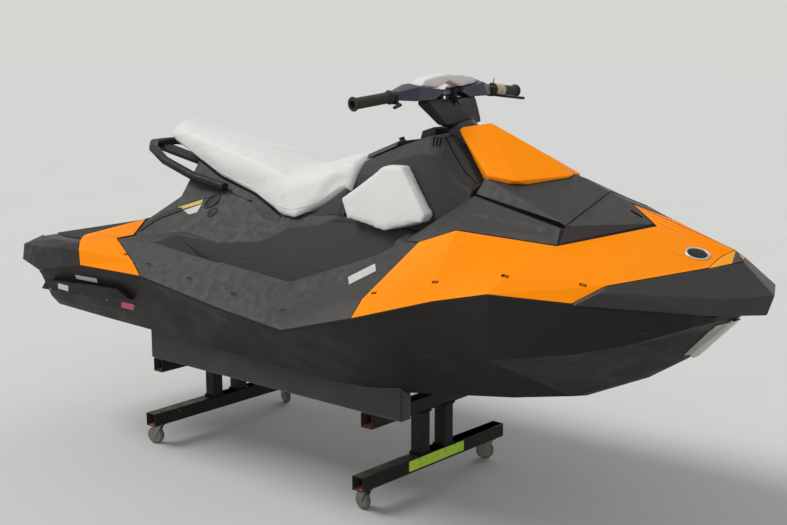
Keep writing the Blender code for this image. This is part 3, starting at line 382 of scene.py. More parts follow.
def add_ring(name, place, radius, wire, around=40, across=10):
    release()
    bpy.ops.mesh.primitive_torus_add(
        location=place, major_radius=radius, minor_radius=wire, major_segments=around, minor_segments=across,
    )
    apply_place()
    ring = bpy.context.object
    ring.name = name
    return ring


PLATED = Finish("plated_steel", 0.38, 0.85)
PLATED.tones((60, 6), (150, 148, 142), (104, 100, 92))
PLATED.patches((130, 8), 0.58, 0.68, 0.75, (112, 74, 48))
PLATED.relief((700, 4), 0.0003)

WHEEL_RUBBER = Finish("wheel_rubber", 0.72)
WHEEL_RUBBER.tones((70, 7), (66, 64, 60), (118, 114, 106))
WHEEL_RUBBER.relief((600, 6), 0.0006)

CASTER_ACROSS = 0.345
TRAIL = 0.020
WHEEL_RADIUS = 0.033
HUB_RADIUS = 0.019
RACE_HEIGHT = 0.0775
for corner, along, across, turned in (
    ("rear_starboard", REAR_LEG, -CASTER_ACROSS, 200), ("rear_port", REAR_LEG, CASTER_ACROSS, 160),
    ("front_starboard", FRONT_LEG, -CASTER_ACROSS, 170), ("front_port", FRONT_LEG, CASTER_ACROSS, 215),
):
    fork = f"fork_{corner}"
    wheel = f"wheel_{corner}"
    dress("caster_" + fork, fork, fork, PLATED, 0.0008, over=30)
    tyre = dress("caster_" + wheel, wheel, wheel, WHEEL_RUBBER, 0.002, steps=3, over=30)
    tyre.data.materials.append(PLATED.material)
    turn = math.radians(turned)
    hub = Vector((along + TRAIL * math.cos(turn), across + TRAIL * math.sin(turn), WHEEL_RADIUS))
    axle = Vector((-math.sin(turn), math.cos(turn), 0))
    for face in tyre.data.polygons:
        reach = face.center - hub
        reach -= axle * reach.dot(axle)
        if reach.length < HUB_RADIUS:
            face.material_index = 1
    race = add_ring(f"ball_race_{corner}", (along, across, RACE_HEIGHT), 0.017, 0.0022, around=32, across=8)
    fit_piece(race, fork, PLATED)


# The hull, a black moulding of glass and resin with a fine grain, flat panels and soft chines.
# The keel near the bow and the chines are scuffed grey where they have touched the ramp.

HULL_BLACK = Finish("hull_moulding", 0.45, shine=0.12)
HULL_BLACK.tones((2.2, 3), (30, 28, 26), (41, 38, 36))
HULL_BLACK.patches((16, 9, (0.25, 1.0, 2.5)), 0.64, 0.72, 0.22, (74, 70, 66))
HULL_BLACK.rub(0.53, 0.62, (66, 62, 58))
HULL_BLACK.gloss((9, 6), 0.34, 0.52)
HULL_BLACK.relief((4, 2), 0.004)
HULL_BLACK.relief((700, 4), 0.00012)
hull = dress("hull", "hull_skin", "craft", HULL_BLACK, 0.004, over=14)


# The sponsons, two long black blades on the rear flanks of the hull. Each is one moulding held
# by screws from outside.

BLACK = Finish("black_moulding", 0.5, shine=0.2)
BLACK.tones((5,), (22, 21, 20), (33, 31, 30))
BLACK.rub(0.54, 0.70, (72, 70, 68))
BLACK.gloss((30, 6), 0.40, 0.60)
BLACK.relief((900, 3), 0.00025)
blades = {}
for side_name in SIDES:
    name = f"sponson_blade_{side_name}"
    blades[side_name] = dress(f"sponson_{side_name}", name, "craft", BLACK, 0.003, steps=3)


LOOKS_UP = 0.9


def open_top(piece):
    """Opens a mesh to work on the faces that look up."""
    for part in (*piece.data.edges, *piece.data.vertices):
        part.select = False
    for face in piece.data.polygons:
        face.select = face.normal.z > LOOKS_UP
    open_mesh()
    bpy.ops.mesh.select_mode(type="FACE")


def mesh_alone(piece):
    shape = piece.data
    bpy.data.objects.remove(piece)
    return shape


def socket_screw():
    """A low round screw head with a round socket, standing on the origin and facing up."""
    release()
    bpy.ops.mesh.primitive_cylinder_add(vertices=24, radius=0.0065, depth=0.003, location=(0, 0, 0.0015))
    head = bpy.context.object
    apply_place()
    open_top(head)
    bpy.ops.mesh.inset(thickness=0.0032, depth=0)
    bpy.ops.mesh.inset(thickness=0.0004, depth=-0.0018)
    close_mesh()
    treat(head, "BEVEL", width=0.0006, segments=2, angle_limit=math.radians(50))
    return mesh_alone(head)


STAND_FROM = 0.04
STAND_REACH = 0.12


def stand_copy(shape, name, under, place, out, along=(1, 0, 0), sink=0.0):
    """Sets a copy of a small piece on the surface found below a place, its length along a line."""
    out = Vector(out).normalized()
    landing, slope, _, _ = surface_of(*under).ray_cast(place + out * STAND_FROM, -out, STAND_REACH)
    if landing is None:
        landing, slope = place, out
    if slope.dot(out) < 0:
        slope = -slope
    piece = bpy.data.objects.new(name, shape.copy())
    bpy.context.scene.collection.objects.link(piece)
    along = Vector(along)
    along = (along - slope * along.dot(slope)).normalized()
    facing = Matrix((along, slope.cross(along), slope)).transposed().to_4x4()
    piece.data.transform(Matrix.Translation(landing - slope * sink) @ facing)
    return piece


SCREW_STEEL = Finish("screw_steel", 0.4, 0.8)
SCREW_STEEL.tones((300, 5), (150, 148, 142), (104, 100, 94))
SCREW_STEEL.relief((900, 4), 0.0002)
SCREW = socket_screw()
for side_name, side in SIDES.items():
    for number, place in enumerate(((6.24, 4.85, 5.76), (7.95, 4.90, 5.80), (3.30, 4.90, 5.90))):
        screw = stand_copy(
            SCREW, f"sponson_screw_{side_name}_{number}", [hull, blades[side_name]],
            spot(*place, side), (0, side, -0.2),
        )
        fit_piece(screw, "craft", SCREW_STEEL)


# The stickers, thin printed film with an adhesive back. A pink one and two small white ones are
# on the starboard flank, and a white one follows on the gunwale once that is made.

def sticker_film(name, colour, aged):
    film = Finish(name, 0.35, shine=0.3)
    film.tones((50, 6), colour, aged)
    film.relief((140, 5), 0.0004)
    return film


FILM_LIFT = 0.0004
FILM_THICK = 0.0003
WHITE_FILM = sticker_film("white_film", (206, 205, 202), (184, 182, 176))
PINK_FILM = sticker_film("pink_film", (212, 96, 104), (190, 74, 84))
for name, film, upper, lower in (
    ("pink", PINK_FILM,
     ((7.18, -4.90, 5.82), (7.92, -4.93, 5.84)), ((7.02, -4.79, 5.57), (7.75, -4.80, 5.57))),
    ("small_white", WHITE_FILM,
     ((3.86, -5.3, 6.15), (4.55, -5.35, 6.14)), ((3.84, -5.3, 5.94), (4.52, -5.3, 5.93))),
    ("long_white", WHITE_FILM,
     ((4.75, -5.2, 6.56), (6.15, -5.3, 6.60)), ((4.75, -5.1, 6.40), (6.12, -5.2, 6.43))),
):
    sticker = lay_sheet(
        f"sticker_{name}", line_of(upper), line_of(lower),
        [hull, blades["starboard"]], (0, -1, -0.25), FILM_LIFT, FILM_THICK, run=8,
    )
    fit_piece(sticker, "craft", film)


# The jet pump under the stern. The housing, nozzle, reverse gate and impeller are cast metal,
# and the ride plate and grate close the tunnel below.

CAST = Finish("cast_metal", 0.5, 0.75)
CAST.tones((30, 6), (112, 112, 110), (152, 150, 146))
CAST.gloss((80, 6), 0.40, 0.62)
CAST.relief((500, 6), 0.0006)
for node, name, body, width in (
    ("pump_housing", "pump_duct", "craft", 0.0015),
    ("steering_nozzle", "jet_nozzle", "nozzle", 0.0012),
    ("reverse_gate", "reverse_bucket", "gate", 0.0012),
    ("impeller", "impeller_wheel", "impeller", 0.0006),
    ("ride_plate", "ride_plate_cover", "craft", 0.0015),
    ("intake_grate", "intake_bars", "craft", 0.0010),
):
    dress(node, name, body, CAST, width, over=30)


# The deck and the two wide gunwales, moulded in a dark grey plastic with a leather grain. The
# gunwales are screwed to the deck, and their outer edge laps the hull.

def leather(finish, scale):
    return finish.texture("Voronoi", scale, finish.place).outputs["Distance"]


GREY = Finish("grey_moulding", 0.55, shine=0.25)
GREY.tones((3.2,), (51, 50, 49), (55, 54, 53))
GREY.patches((24, 10, (0.5, 1.6, 1.6)), 0.66, 0.74, 0.14, (104, 102, 99))
GREY.rub(0.54, 0.70, (96, 94, 92))
GREY.gloss((40, 6), 0.46, 0.64)
GREY.relief(leather(GREY, 650), 0.00025)
deck = dress("deck", "deck_moulding", "craft", GREY, 0.003, over=14)
gunwales = {}
for side_name in SIDES:
    name = f"gunwale_cover_{side_name}"
    gunwales[side_name] = dress(f"gunwale_{side_name}", name, "craft", GREY, 0.0016, over=12)
sticker = lay_sheet(
    "sticker_gunwale",
    line_of(((18.34, -4.57, 8.19), (19.18, -4.23, 8.68))),
    line_of(((18.62, -4.83, 8.03), (19.45, -4.49, 8.52))),
    [gunwales["starboard"], deck], (0.1, -0.5, 0.85), FILM_LIFT, FILM_THICK, run=10,
)
fit_piece(sticker, "craft", WHITE_FILM)


# The clips along the gunwales, four a side. Each is a short hooded pocket moulded in the edge with
# a screw down inside it.

def hooded_clip(length, width, height):
    """A low wedge with an open pocket on top, centred on the origin and facing up."""
    release()
    bpy.ops.mesh.primitive_cube_add(size=1, location=(0, 0, 0))
    clip = bpy.context.object
    clip.scale = (length, width, height)
    apply_place()
    open_top(clip)
    bpy.ops.transform.resize(value=(0.78, 0.62, 1))
    bpy.ops.mesh.inset(thickness=width * 0.14, depth=0)
    bpy.ops.mesh.extrude_region_move(TRANSFORM_OT_translate={"value": (0, 0, -height * 0.7)})
    close_mesh()
    treat(clip, "BEVEL", width=height * 0.16, segments=2)
    return mesh_alone(clip)


CLIP = hooded_clip(0.030, 0.017, 0.008)
SCREW_SINK = 0.0012
CLIP_PLACES = ((9.24, 5.24, 7.55), (11.53, 5.31, 7.36), (13.82, 5.36, 7.17), (16.25, 5.42, 6.96))
for side_name, side in SIDES.items():
    for number, place in enumerate(CLIP_PLACES):
        for part, shape, sink, finish, slot in (
            ("clip", CLIP, 0.0, GREY, "grey_plastic"), ("screw", SCREW, SCREW_SINK, BLACK, "black_plastic"),
        ):
            piece = stand_copy(
                shape, f"gunwale_{part}_{side_name}_{number}", [gunwales[side_name]],
                spot(*place, side), (0, side * 0.75, 0.65), (1, 0, -0.1), sink,
            )
            fit_piece(piece, "craft", finish)


# The rub rail, a black rubber bead pressed over the joint of hull and gunwale all the way round
# from the stern bumper to the bow.

def tube_along(name, points, radius, sides=3):
    line = bpy.data.curves.new(name, "CURVE")
    line.dimensions = "3D"
    run = line.splines.new("POLY")
    run.points.add(len(points) - 1)
    for knot, place in zip(run.points, points):
        knot.co = (*place, 1)
    line.bevel_depth = radius
    line.bevel_resolution = sides
    line.use_fill_caps = True
    tube = bpy.data.objects.new(name, line)
    bpy.context.scene.collection.objects.link(tube)
    hold(tube)
    bpy.ops.object.convert(target="MESH")
    tube = bpy.context.object
    tube.name = name
    open_mesh()
    bpy.ops.mesh.select_all(action="SELECT")
    bpy.ops.mesh.remove_doubles(threshold=0.00005)
    bpy.ops.mesh.normals_make_consistent(inside=False)
    close_mesh()
    return tube


RAIL_RUBBER = Finish("rail_rubber", 0.6, shine=0.2)
RAIL_RUBBER.tones((20, 5), (24, 22, 20), (38, 35, 32))
RAIL_RUBBER.relief((600, 4), 0.0003)
RAIL_RADIUS = 0.0050
RAIL_IN = 0.052
RAIL_DOWN = 0.045
RAIL_LINE = (
    (2.22, 5.03, 6.38), (5.40, 5.40, 7.05), (9.24, 5.61, 7.17), (11.0, 5.70, 6.98), (13.5, 5.82, 6.70),
    (16.62, 5.90, 6.43), (19.6, 5.86, 7.27), (22.66, 5.69, 8.22), (24.41, 5.42, 8.63), (26.61, 4.41, 8.51),
    (28.2, 2.85, 8.33),
)
for side_name, side in SIDES.items():
    points = [spot(along, across - RAIL_IN, height - RAIL_DOWN, side) for along, across, height in RAIL_LINE]
    rail = tube_along(f"rub_rail_{side_name}", points, RAIL_RADIUS)
    fit_piece(rail, "craft", RAIL_RUBBER, smooth=40)


# The two pods behind the seat, where the handle's feet go into the deck: a dark oval cup with a
# drain hole below it, and a label of pale yellow and grey film beside it.

def oval_cup():
    """A shallow oval cup with a rolled rim, standing on the origin and facing up."""
    cup = add_ring("oval_cup", (0, 0, 0), 0.022, 0.0035)
    cup.scale = (1.35, 1, 0.9)
    apply_place()
    bpy.ops.mesh.primitive_circle_add(vertices=40, radius=0.0225, fill_type="NGON", location=(0, 0, 0.0006))
    plug = bpy.context.object
    plug.scale = (1.35, 1, 1)
    apply_place()
    open_mesh()
    bpy.ops.mesh.select_all(action="SELECT")
    bpy.ops.mesh.inset(thickness=0.006, depth=-0.0004)
    bpy.ops.mesh.inset(thickness=0.006, depth=0.0014)
    close_mesh()
    treat(plug, "SOLIDIFY", thickness=0.0006)
    cup.select_set(True)
    bpy.context.view_layer.objects.active = cup
    bpy.ops.object.join()
    return mesh_alone(bpy.context.object)


YELLOW_FILM = sticker_film("yellow_film", (222, 196, 96), (198, 172, 84))
CUP = oval_cup()
for side_name, side in SIDES.items():
    for part, place, size in (("upper", (9.42, 2.26, 9.50), 1.15), ("lower", (9.72, 2.56, 9.16), 0.7)):
        cup = stand_copy(
            CUP, f"handle_{part}_cup_{side_name}", [deck], spot(*place, side),
            (0.1, side * 0.75, 0.65), (0.5, -0.3 * side, 0.6),
        )
        middle = sum((point.co for point in cup.data.vertices), Vector()) / len(cup.data.vertices)
        for point in cup.data.vertices:
            point.co = middle + (point.co - middle) * size
        fit_piece(cup, "craft", BLACK)
    for part, film, upper, lower in (
        ("yellow", YELLOW_FILM,
         ((7.63, 2.43, 9.13), (8.80, 2.18, 9.52)), ((8.03, 2.58, 9.11), (8.92, 2.36, 9.40))),
        ("grey", WHITE_FILM,
         ((8.19, 2.62, 9.08), (8.95, 2.40, 9.37)), ((8.62, 2.74, 8.98), (8.99, 2.64, 9.08))),
    ):
        label = lay_sheet(
            f"handle_label_{part}_{side_name}", line_of(upper, side), line_of(lower, side),
            [deck], (-0.1, side * 0.7, 0.7), FILM_LIFT, FILM_THICK, run=10,
        )
        fit_piece(label, "craft", film)


# The corner trims behind the pods, dark plastic covers folded over the deck's rear corners. Each
# is 3.5 mm thick and clipped down on the deck.

for side_name, side in SIDES.items():
    trim = lay_sheet(
        f"corner_trim_{side_name}",
        line_of(((6.55, 3.45, 8.20), (7.15, 2.95, 8.72), (8.10, 2.62, 9.02)), side),
        line_of(((6.75, 3.02, 8.60), (7.25, 2.68, 8.95), (7.98, 2.50, 9.14)), side),
        [deck], (-0.1, side * 0.65, 0.75), lift=0.0002, thick=0.0035, run=10,
    )
    ease_edges(trim, 0.0012, over=40)
    fit_piece(trim, "craft", BLACK)


# The orange body panels. Each is a coloured plastic sheet of even thickness with crisp folds,
# laid 1 mm from its neighbours and fixed by sunk screws.

def rim_of(piece, wall):
    """The narrow faces round the outside of a sheet that is one wall thick."""
    shape = piece.data
    points = [point.co.copy() for point in shape.vertices]
    narrow = []
    for face in shape.polygons:
        corners = [points[corner] for corner in face.vertices]
        longest = max((corners[i] - corners[i - 1]).length for i in range(len(corners)))
        if face.area < longest * wall * 1.25:
            narrow.append(list(face.vertices))
    return BVHTree.FromPolygons(points, narrow)


ORANGE = Finish("orange_moulding", 0.48, shine=0.05)
ORANGE.tones((2.6,), (255, 146, 6), (252, 136, 4))
ORANGE.patches((46, 10), 0.66, 0.74, 0.35, (176, 96, 16))
ORANGE.rub(0.53, 0.64, (255, 172, 60))
ORANGE.gloss((28, 6), 0.42, 0.56)
ORANGE.relief((5, 2), 0.0012)
ORANGE.relief((1100, 3), 0.00008)

# Painted shade: the narrow rim faces round each orange panel take this dark brown in place of the shade on
# them.
SHADED_RIM = Finish("shaded_rim", 0.8, shine=0.05)
SHADED_RIM.tones((40,), (64, 30, 8), (46, 24, 10))
SHADED_RIM.relief((500, 4), 0.0002)

PANEL_WALL = 0.004
RIM_REACH = 0.0012
panels = {}
for side_name in SIDES:
    for node in (f"front_panel_{side_name}", f"rear_panel_{side_name}"):
        panel = copy_solid(node, node.replace("panel", "orange_panel"))
        rim = rim_of(panel, PANEL_WALL)
        ease_edges(panel, 0.0014, over=12, stray=50)
        fit_piece(panel, "craft", ORANGE, weigh=True)
        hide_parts(node)
        panel.data.materials.append(SHADED_RIM.material)
        for face in panel.data.polygons:
            if rim.find_nearest(face.center)[3] < RIM_REACH:
                face.material_index = 1
        panels[node] = panel

PANEL_CLIP = hooded_clip(0.024, 0.011, 0.0035)
PANEL_CLIP_PLACES = (
    ("front", (22.33, 5.14, 8.67)), ("front", (24.58, 4.77, 9.09)), ("front", (26.69, 4.01, 8.99)),
    ("front", (20.02, 5.23, 8.02)), ("rear", (7.74, 5.04, 7.71)),
)
# The panel clips are coloured with the rim's painted shade.
for side_name, side in SIDES.items():
    for number, (end_name, place) in enumerate(PANEL_CLIP_PLACES):
        clip = stand_copy(
            PANEL_CLIP, f"panel_clip_{side_name}_{number}", [panels[f"{end_name}_panel_{side_name}"]],
            spot(*place, side), (0, side * 0.6, 0.8), (1, 0, 0.05),
        )
        fit_piece(clip, "craft", SHADED_RIM)


# The bow bumper and the two stern bumpers, dark plastic mouldings that take the knocks. The bow
# one has a leather grain like the deck's.

for side_name in SIDES:
    name = f"stern_bumper_cover_{side_name}"
    dress(f"stern_bumper_{side_name}", name, "craft", BLACK, 0.0016, over=12)
dress("bow_bumper", "bow_bumper_cover", "craft", GREY, 0.004, over=12)


# The badge on each side of the bow, an oval ring of bright metal round a dark domed cap. Ring and
# cap both stand on the front panel.

def oval_badge():
    """An oval ring and the domed cap inside it, standing on the origin and facing up."""
    ring = add_ring("badge_ring", (0, 0, 0.0006), 0.0255, 0.0032, around=48)
    bpy.ops.mesh.primitive_uv_sphere_add(segments=40, ring_count=20, radius=0.0235, location=(0, 0, 0))
    cap = bpy.context.object
    cap.scale = (1, 1, 0.12)
    apply_place()
    for piece in (ring, cap):
        piece.data.transform(Matrix.Diagonal((1.30, 0.98, 1, 1)))
    return mesh_alone(ring), mesh_alone(cap)


BRIGHT = Finish("bright_metal", 0.32, 0.9)
BRIGHT.tones((40, 6, (1, 1, 6)), (176, 175, 170), (204, 203, 198))
BRIGHT.gloss((160, 6, (1, 1, 8)), 0.25, 0.45)
BRIGHT.relief((300, 4), 0.0003)
BADGE_RING, BADGE_CAP = oval_badge()
for side_name, side in SIDES.items():
    for part, shape, finish, slot in (
        ("ring", BADGE_RING, BRIGHT, "bare_metal"), ("cap", BADGE_CAP, BLACK, "black_plastic"),
    ):
        badge = stand_copy(
            shape, f"badge_{part}_{side_name}", [panels[f"front_panel_{side_name}"]],
            spot(28.45, 0.78, 9.61, side), (0.34, side * 0.32, 0.88), (0.62, -0.33 * side, -0.12),
        )
        fit_piece(badge, "craft", finish)


# The bow strip, a folded plate of bright metal that guards the keel below the bumper. A thin
# flap on each side of it lies on the hull.

dress("bow_strip", "bow_guard_plate", "craft", BRIGHT, 0.001, over=20)
for side_name, side in SIDES.items():
    flap = lay_sheet(
        f"bow_guard_flap_{side_name}",
        line_of(((28.14, 0.17, 6.42), (28.78, 0.17, 7.06), (29.28, 0.17, 7.62)), side),
        line_of(((27.98, 0.52, 6.58), (28.60, 0.60, 7.22), (29.05, 0.70, 7.72)), side),
        [hull], (0.6, side * 0.35, -0.7), lift=0.0006, thick=0.0015, run=10,
    )
    fit_piece(flap, "craft", BRIGHT)


# The folds at the bow tip. The orange panels turn down to the bow bumper here, and the bumper's
# top comes up between them to their highest point. Both go on as thin mouldings, 3 mm thick.

def fold_between(name, rear, front, thick):
    """A thin folded sheet between two lines of as many points, facing up."""
    release()
    spans = len(rear) - 1
    bpy.ops.mesh.primitive_grid_add(x_subdivisions=spans, y_subdivisions=1, size=1)
    fold = bpy.context.object
    fold.name = name
    for point in fold.data.vertices:
        step = round((point.co.x + 0.5) * spans)
        point.co = rear[step] if point.co.y < 0 else front[step]
    fold.data.update()
    if fold.data.polygons[0].normal.z < 0:
        fold.data.flip_normals()
    treat(fold, "SOLIDIFY", thickness=thick, offset=-1)
    return fold


FOLD_THICK = 0.003
PANEL_TIP = (
    (29.00, 1.10, 9.33), (29.00, 0.55, 9.50), (29.05, 0.35, 9.58), (29.15, 0.18, 9.65), (29.26, 0.005, 9.715),
)
TIP_CORNER = (29.33, 0.36, 9.40)
CROWN_CORNER = (29.345, 0.345, 9.395)
TIP_GAP = Vector((0.001, 0, 0))
for side_name, side in SIDES.items():
    rear = line_of(PANEL_TIP, side)
    corner = spot(*TIP_CORNER, side)
    front = [(rear[0] + TIP_GAP).lerp(corner, step / (len(rear) - 1)) for step in range(len(rear))]
    fold = fold_between(f"panel_tip_fold_{side_name}", rear, front, FOLD_THICK)
    fit_piece(fold, "craft", ORANGE)
crown = fold_between(
    "bow_bumper_crown",
    line_of(((29.34, -0.355, 9.402), (29.268, 0, 9.71), (29.34, 0.355, 9.402))),
    [spot(*CROWN_CORNER, -1), spot(29.5, 0, 9.425), spot(*CROWN_CORNER)], FOLD_THICK,
)
fit_piece(crown, "craft", GREY)


# The rubber mats of the boarding deck and the footwells, black sheet with raised ribs so that
# wet feet hold.

def ribs(finish, scale):
    wave = finish.texture("Wave", scale, finish.place)
    wave.bands_direction = "Y"
    return wave.outputs["Fac"]


MAT_RUBBER = Finish("ribbed_mat", 0.78, shine=0.2)
MAT_RUBBER.tones((9, 6), (36, 35, 34), (52, 50, 48))
MAT_RUBBER.relief(ribs(MAT_RUBBER, 32), 0.002)
MAT_RUBBER.relief((800, 3), 0.0003)
for side_name in SIDES:
    for node, name, over in (("rear_mat_", "boarding_mat_", 12), ("footwell_mat_", "footwell_rubber_", 20)):
        dress(node + side_name, name + side_name, "craft", MAT_RUBBER, 0.0012, over=over)


# The seat. A long foam saddle in a white vinyl cover rests on a black plastic base, and a
# moulded black loop behind it is the boarding handle.

VINYL = Finish("white_vinyl", 0.5, shine=0.3)
VINYL.tones((6, 5), (228, 227, 224), (214, 212, 208))
VINYL.patches((18, 9), 0.60, 0.75, 0.35, (186, 182, 174))
VINYL.gloss((30, 6), 0.42, 0.60)
VINYL.relief(leather(VINYL, 520), 0.0003)
VINYL.relief((14, 3), 0.002)
BLOW_FRAMES = 20


def plump(piece, voxel, shrink, cap, calm=14):
    """Blows a soft piece up from inside like a stuffed cover, and keeps it near its start."""
    treat(piece, "REMESH", mode="VOXEL", voxel_size=voxel)
    treat(piece, "SMOOTH", factor=0.5, iterations=4)
    treat(piece, "DISPLACE", strength=-shrink, mid_level=0)
    begin = [point.co.copy() for point in piece.data.vertices]
    cover = piece.modifiers.new("cover", "CLOTH")
    cover.settings.use_pressure = True
    cover.settings.uniform_pressure_force = 4
    cover.settings.effector_weights.gravity = 0
    cover.settings.quality = 4
    cover.settings.tension_stiffness = 40
    cover.settings.compression_stiffness = 40
    cover.settings.bending_stiffness = 8
    cover.point_cache.frame_start = 1
    cover.point_cache.frame_end = BLOW_FRAMES
    for step in range(1, BLOW_FRAMES + 1):
        bpy.context.scene.frame_set(step)
    hold(piece)
    bpy.ops.object.modifier_apply(modifier="cover")
    bpy.context.scene.frame_set(1)
    for point, home in zip(piece.data.vertices, begin):
        move = point.co - home
        if move.length > cap:
            point.co = home + move.normalized() * cap
    treat(piece, "SMOOTH", factor=0.5, iterations=calm)
    treat(piece, "SUBSURF", levels=1, render_levels=1)


seat = copy_solid("seat", "seat_cover")
plump(seat, voxel=0.006, shrink=0.002, cap=0.006, calm=24)
fit_piece(seat, "craft", VINYL, smooth=60)
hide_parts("seat")


def welt_line(piece, side, above, stations=70, ends=0.012):
    """The line on a piece's flank that runs a set height above its lower edge."""
    skin = surface_of(piece)
    low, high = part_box("seat")
    beside, reach, climb = 0.5, 0.48, 0.002

    def flank(along, height):
        return skin.ray_cast(Vector((along, side * beside, height)), Vector((0, -side, 0)), reach)[0]

    line = []
    for step in range(stations + 1):
        along = low[0] + ends + (high[0] - low[0] - 2 * ends) * step / stations
        height = low[2] - 0.01
        while height < high[2] and not flank(along, height):
            height += climb
        landing = flank(along, height + above)
        if landing:
            line.append(landing)
    for _ in range(3):
        inner = [(line[i - 1] + line[i] * 2 + line[i + 1]) / 4 for i in range(1, len(line) - 1)]
        line = [line[0], *inner, line[-1]]
    return line


for side_name, side in SIDES.items():
    for row, above, radius in (("upper", 0.026, 0.0016), ("lower", 0.019, 0.0007)):
        welt = tube_along(f"seat_welt_{row}_{side_name}", welt_line(seat, side, above), radius)
        fit_piece(welt, "craft", VINYL, smooth=60)

dress("seat_base", "seat_pan", "craft", GREY, 0.003, over=14)
dress("grab_handle", "boarding_handle", "craft", BLACK, 0.004, steps=3, over=20)


# The two knee panels and the pad over the steering head, thick white foam pads with soft edges.
# Each is blown up lightly, as the seat is.

FOAM = Finish("white_foam", 0.62)
FOAM.tones((7, 5), (226, 225, 222), (214, 212, 208))
FOAM.sockets["Sheen Weight"].default_value = 0.15
FOAM.relief((900, 3), 0.0003)
FOAM.relief((20, 3), 0.0012)
for node, name, body in (
    ("knee_panel_starboard", "knee_pad_starboard", "craft"),
    ("knee_panel_port", "knee_pad_port", "craft"),
    ("steering_pad", "steering_head_pad", "steering"),
):
    pad = copy_solid(node, name)
    plump(pad, voxel=0.005, shrink=0.002, cap=0.003)
    fit_piece(pad, body, FOAM, smooth=60)
    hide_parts(node)


# The console ahead of the seat, with the gauge on top, the glovebox lid at its back and the
# storage bin under the hood. All are grained plastic mouldings.

# Near black, for the console's dark joints and as painted shade in the slots, vents and grip bores.
DARK_JOINT_AND_SHADE = Finish("dark_joint_and_painted_shade", 0.85, shine=0.05)
DARK_JOINT_AND_SHADE.tones((60,), (10, 9, 8), (20, 18, 17))
DARK_JOINT_AND_SHADE.relief((500, 4), 0.0002)


def dark_strip(name, points, width, under, out, body):
    """A dark strip of even width along a line, laid on the pieces under it, for a joint and for painted shade
    in a slot.
    """
    out = Vector(out).normalized()
    first_side, second_side = [], []
    for i, point in enumerate(points):
        ahead = points[min(i + 1, len(points) - 1)] - points[max(i - 1, 0)]
        across = ahead.cross(out).normalized() * width / 2
        first_side.append(point + across)
        second_side.append(point - across)
    line = lay_sheet(
        name, first_side, second_side, under, out, lift=0.0003, thick=0.0003, columns=2, run=10,
    )
    fit_piece(line, body, DARK_JOINT_AND_SHADE)


def turned_knob():
    """A low round knob on a flange, standing on the origin and facing up."""
    release()
    bpy.ops.mesh.primitive_cylinder_add(vertices=28, radius=0.013, depth=0.004, location=(0, 0, 0.002))
    apply_place()
    knob = bpy.context.object
    open_top(knob)
    bpy.ops.mesh.inset(thickness=0.003, depth=0)
    bpy.ops.mesh.extrude_region_move(TRANSFORM_OT_translate={"value": (0, 0, 0.012)})
    bpy.ops.mesh.inset(thickness=0.002, depth=-0.002)
    close_mesh()
    treat(knob, "BEVEL", width=0.0008, segments=2, angle_limit=math.radians(40))
    return mesh_alone(knob)


console = dress("console", "console_cover", "craft", GREY, 0.004, over=12)
lid = dress("glovebox_lid", "glovebox_door", "glovebox_lid", GREY, 0.003, steps=3, over=20)
for side_name, side in SIDES.items():
    dark_strip(
        f"console_joint_{side_name}",
        line_of(
            ((18.97, 0.5, 12.42), (19.69, 1.03, 12.02), (20.36, 1.21, 11.38), (20.88, 1.25, 11.04)), side,
        ),
        0.0032, [console], (0.25, 0.72 * side, 0.62), "craft",
    )
    # The vents are dark strips of painted shade in their slots.
    for number in range(3):
        ahead = 0.13 * number
        dark_strip(
            f"console_vent_shade_{side_name}_{number}",
            line_of(((18.86 + ahead, 0.86, 12.34), (18.98 + ahead, 1.12, 12.10)), side),
            0.0045, [console], (0.1, 0.75 * side, 0.6), "craft",
        )
knob = stand_copy(turned_knob(), "lid_knob", [lid], spot(16.98, -0.36, 12.2), (-0.2, -0.2, 1), (1, 0, 0))
fit_piece(knob, "glovebox_lid", BLACK)
dress("storage_bin", "storage_tub", "craft", BLACK, 0.002, over=20)
dress("gauge", "gauge_case", "craft", BLACK, 0.002, over=20)


# The hood that lifts over the storage bin, the cheeks beside it and the orange wind deflector
# on top.

def paint_shade_on_walls(piece):
    """Paints shade on the upright walls beside the slot between hood and cheek, turning them dark."""
    piece.data.materials.append(DARK_JOINT_AND_SHADE.material)
    for face in piece.data.polygons:
        if abs(face.normal.y) > 0.9 and abs(face.normal.z) < 0.3:
            face.material_index = 1


hood = dress("hood", "hood_cover", "hood", GREY, 0.003, over=12)
paint_shade_on_walls(hood)
dress("deflector", "wind_deflector", "hood", ORANGE, 0.003, over=8)
for side_name, side in SIDES.items():
    name = f"hood_side_cheek_{side_name}"
    paint_shade_on_walls(dress(f"hood_cheek_{side_name}", name, "craft", GREY, 0.0016, over=10))
    # The nose slot is a dark strip of painted shade.
    dark_strip(
        f"hood_nose_slot_shade_{side_name}", line_of(((26.02, 0.44, 10.61), (26.46, 0.50, 10.44)), side),
        0.007, [hood], (0.27, 0.29 * side, 0.92), "hood",
    )


# The steering. A black riser turns in the collar of the console and carries the steel bar, two
# rubber grips, the levers and the navy covers under the pad.

NAVY = Finish("navy_moulding", 0.3)
NAVY.tones((12, 5), (34, 40, 56), (46, 52, 68))
NAVY.gloss((60, 5), 0.22, 0.38)
NAVY.relief((900, 3), 0.0001)

GRIP_RUBBER = Finish("grip_rubber", 0.8)
GRIP_RUBBER.tones((60, 6), (34, 33, 31), (52, 50, 46))
GRIP_RUBBER.relief(ribs(GRIP_RUBBER, 60), 0.0008)
GRIP_RUBBER.relief((900, 3), 0.0004)

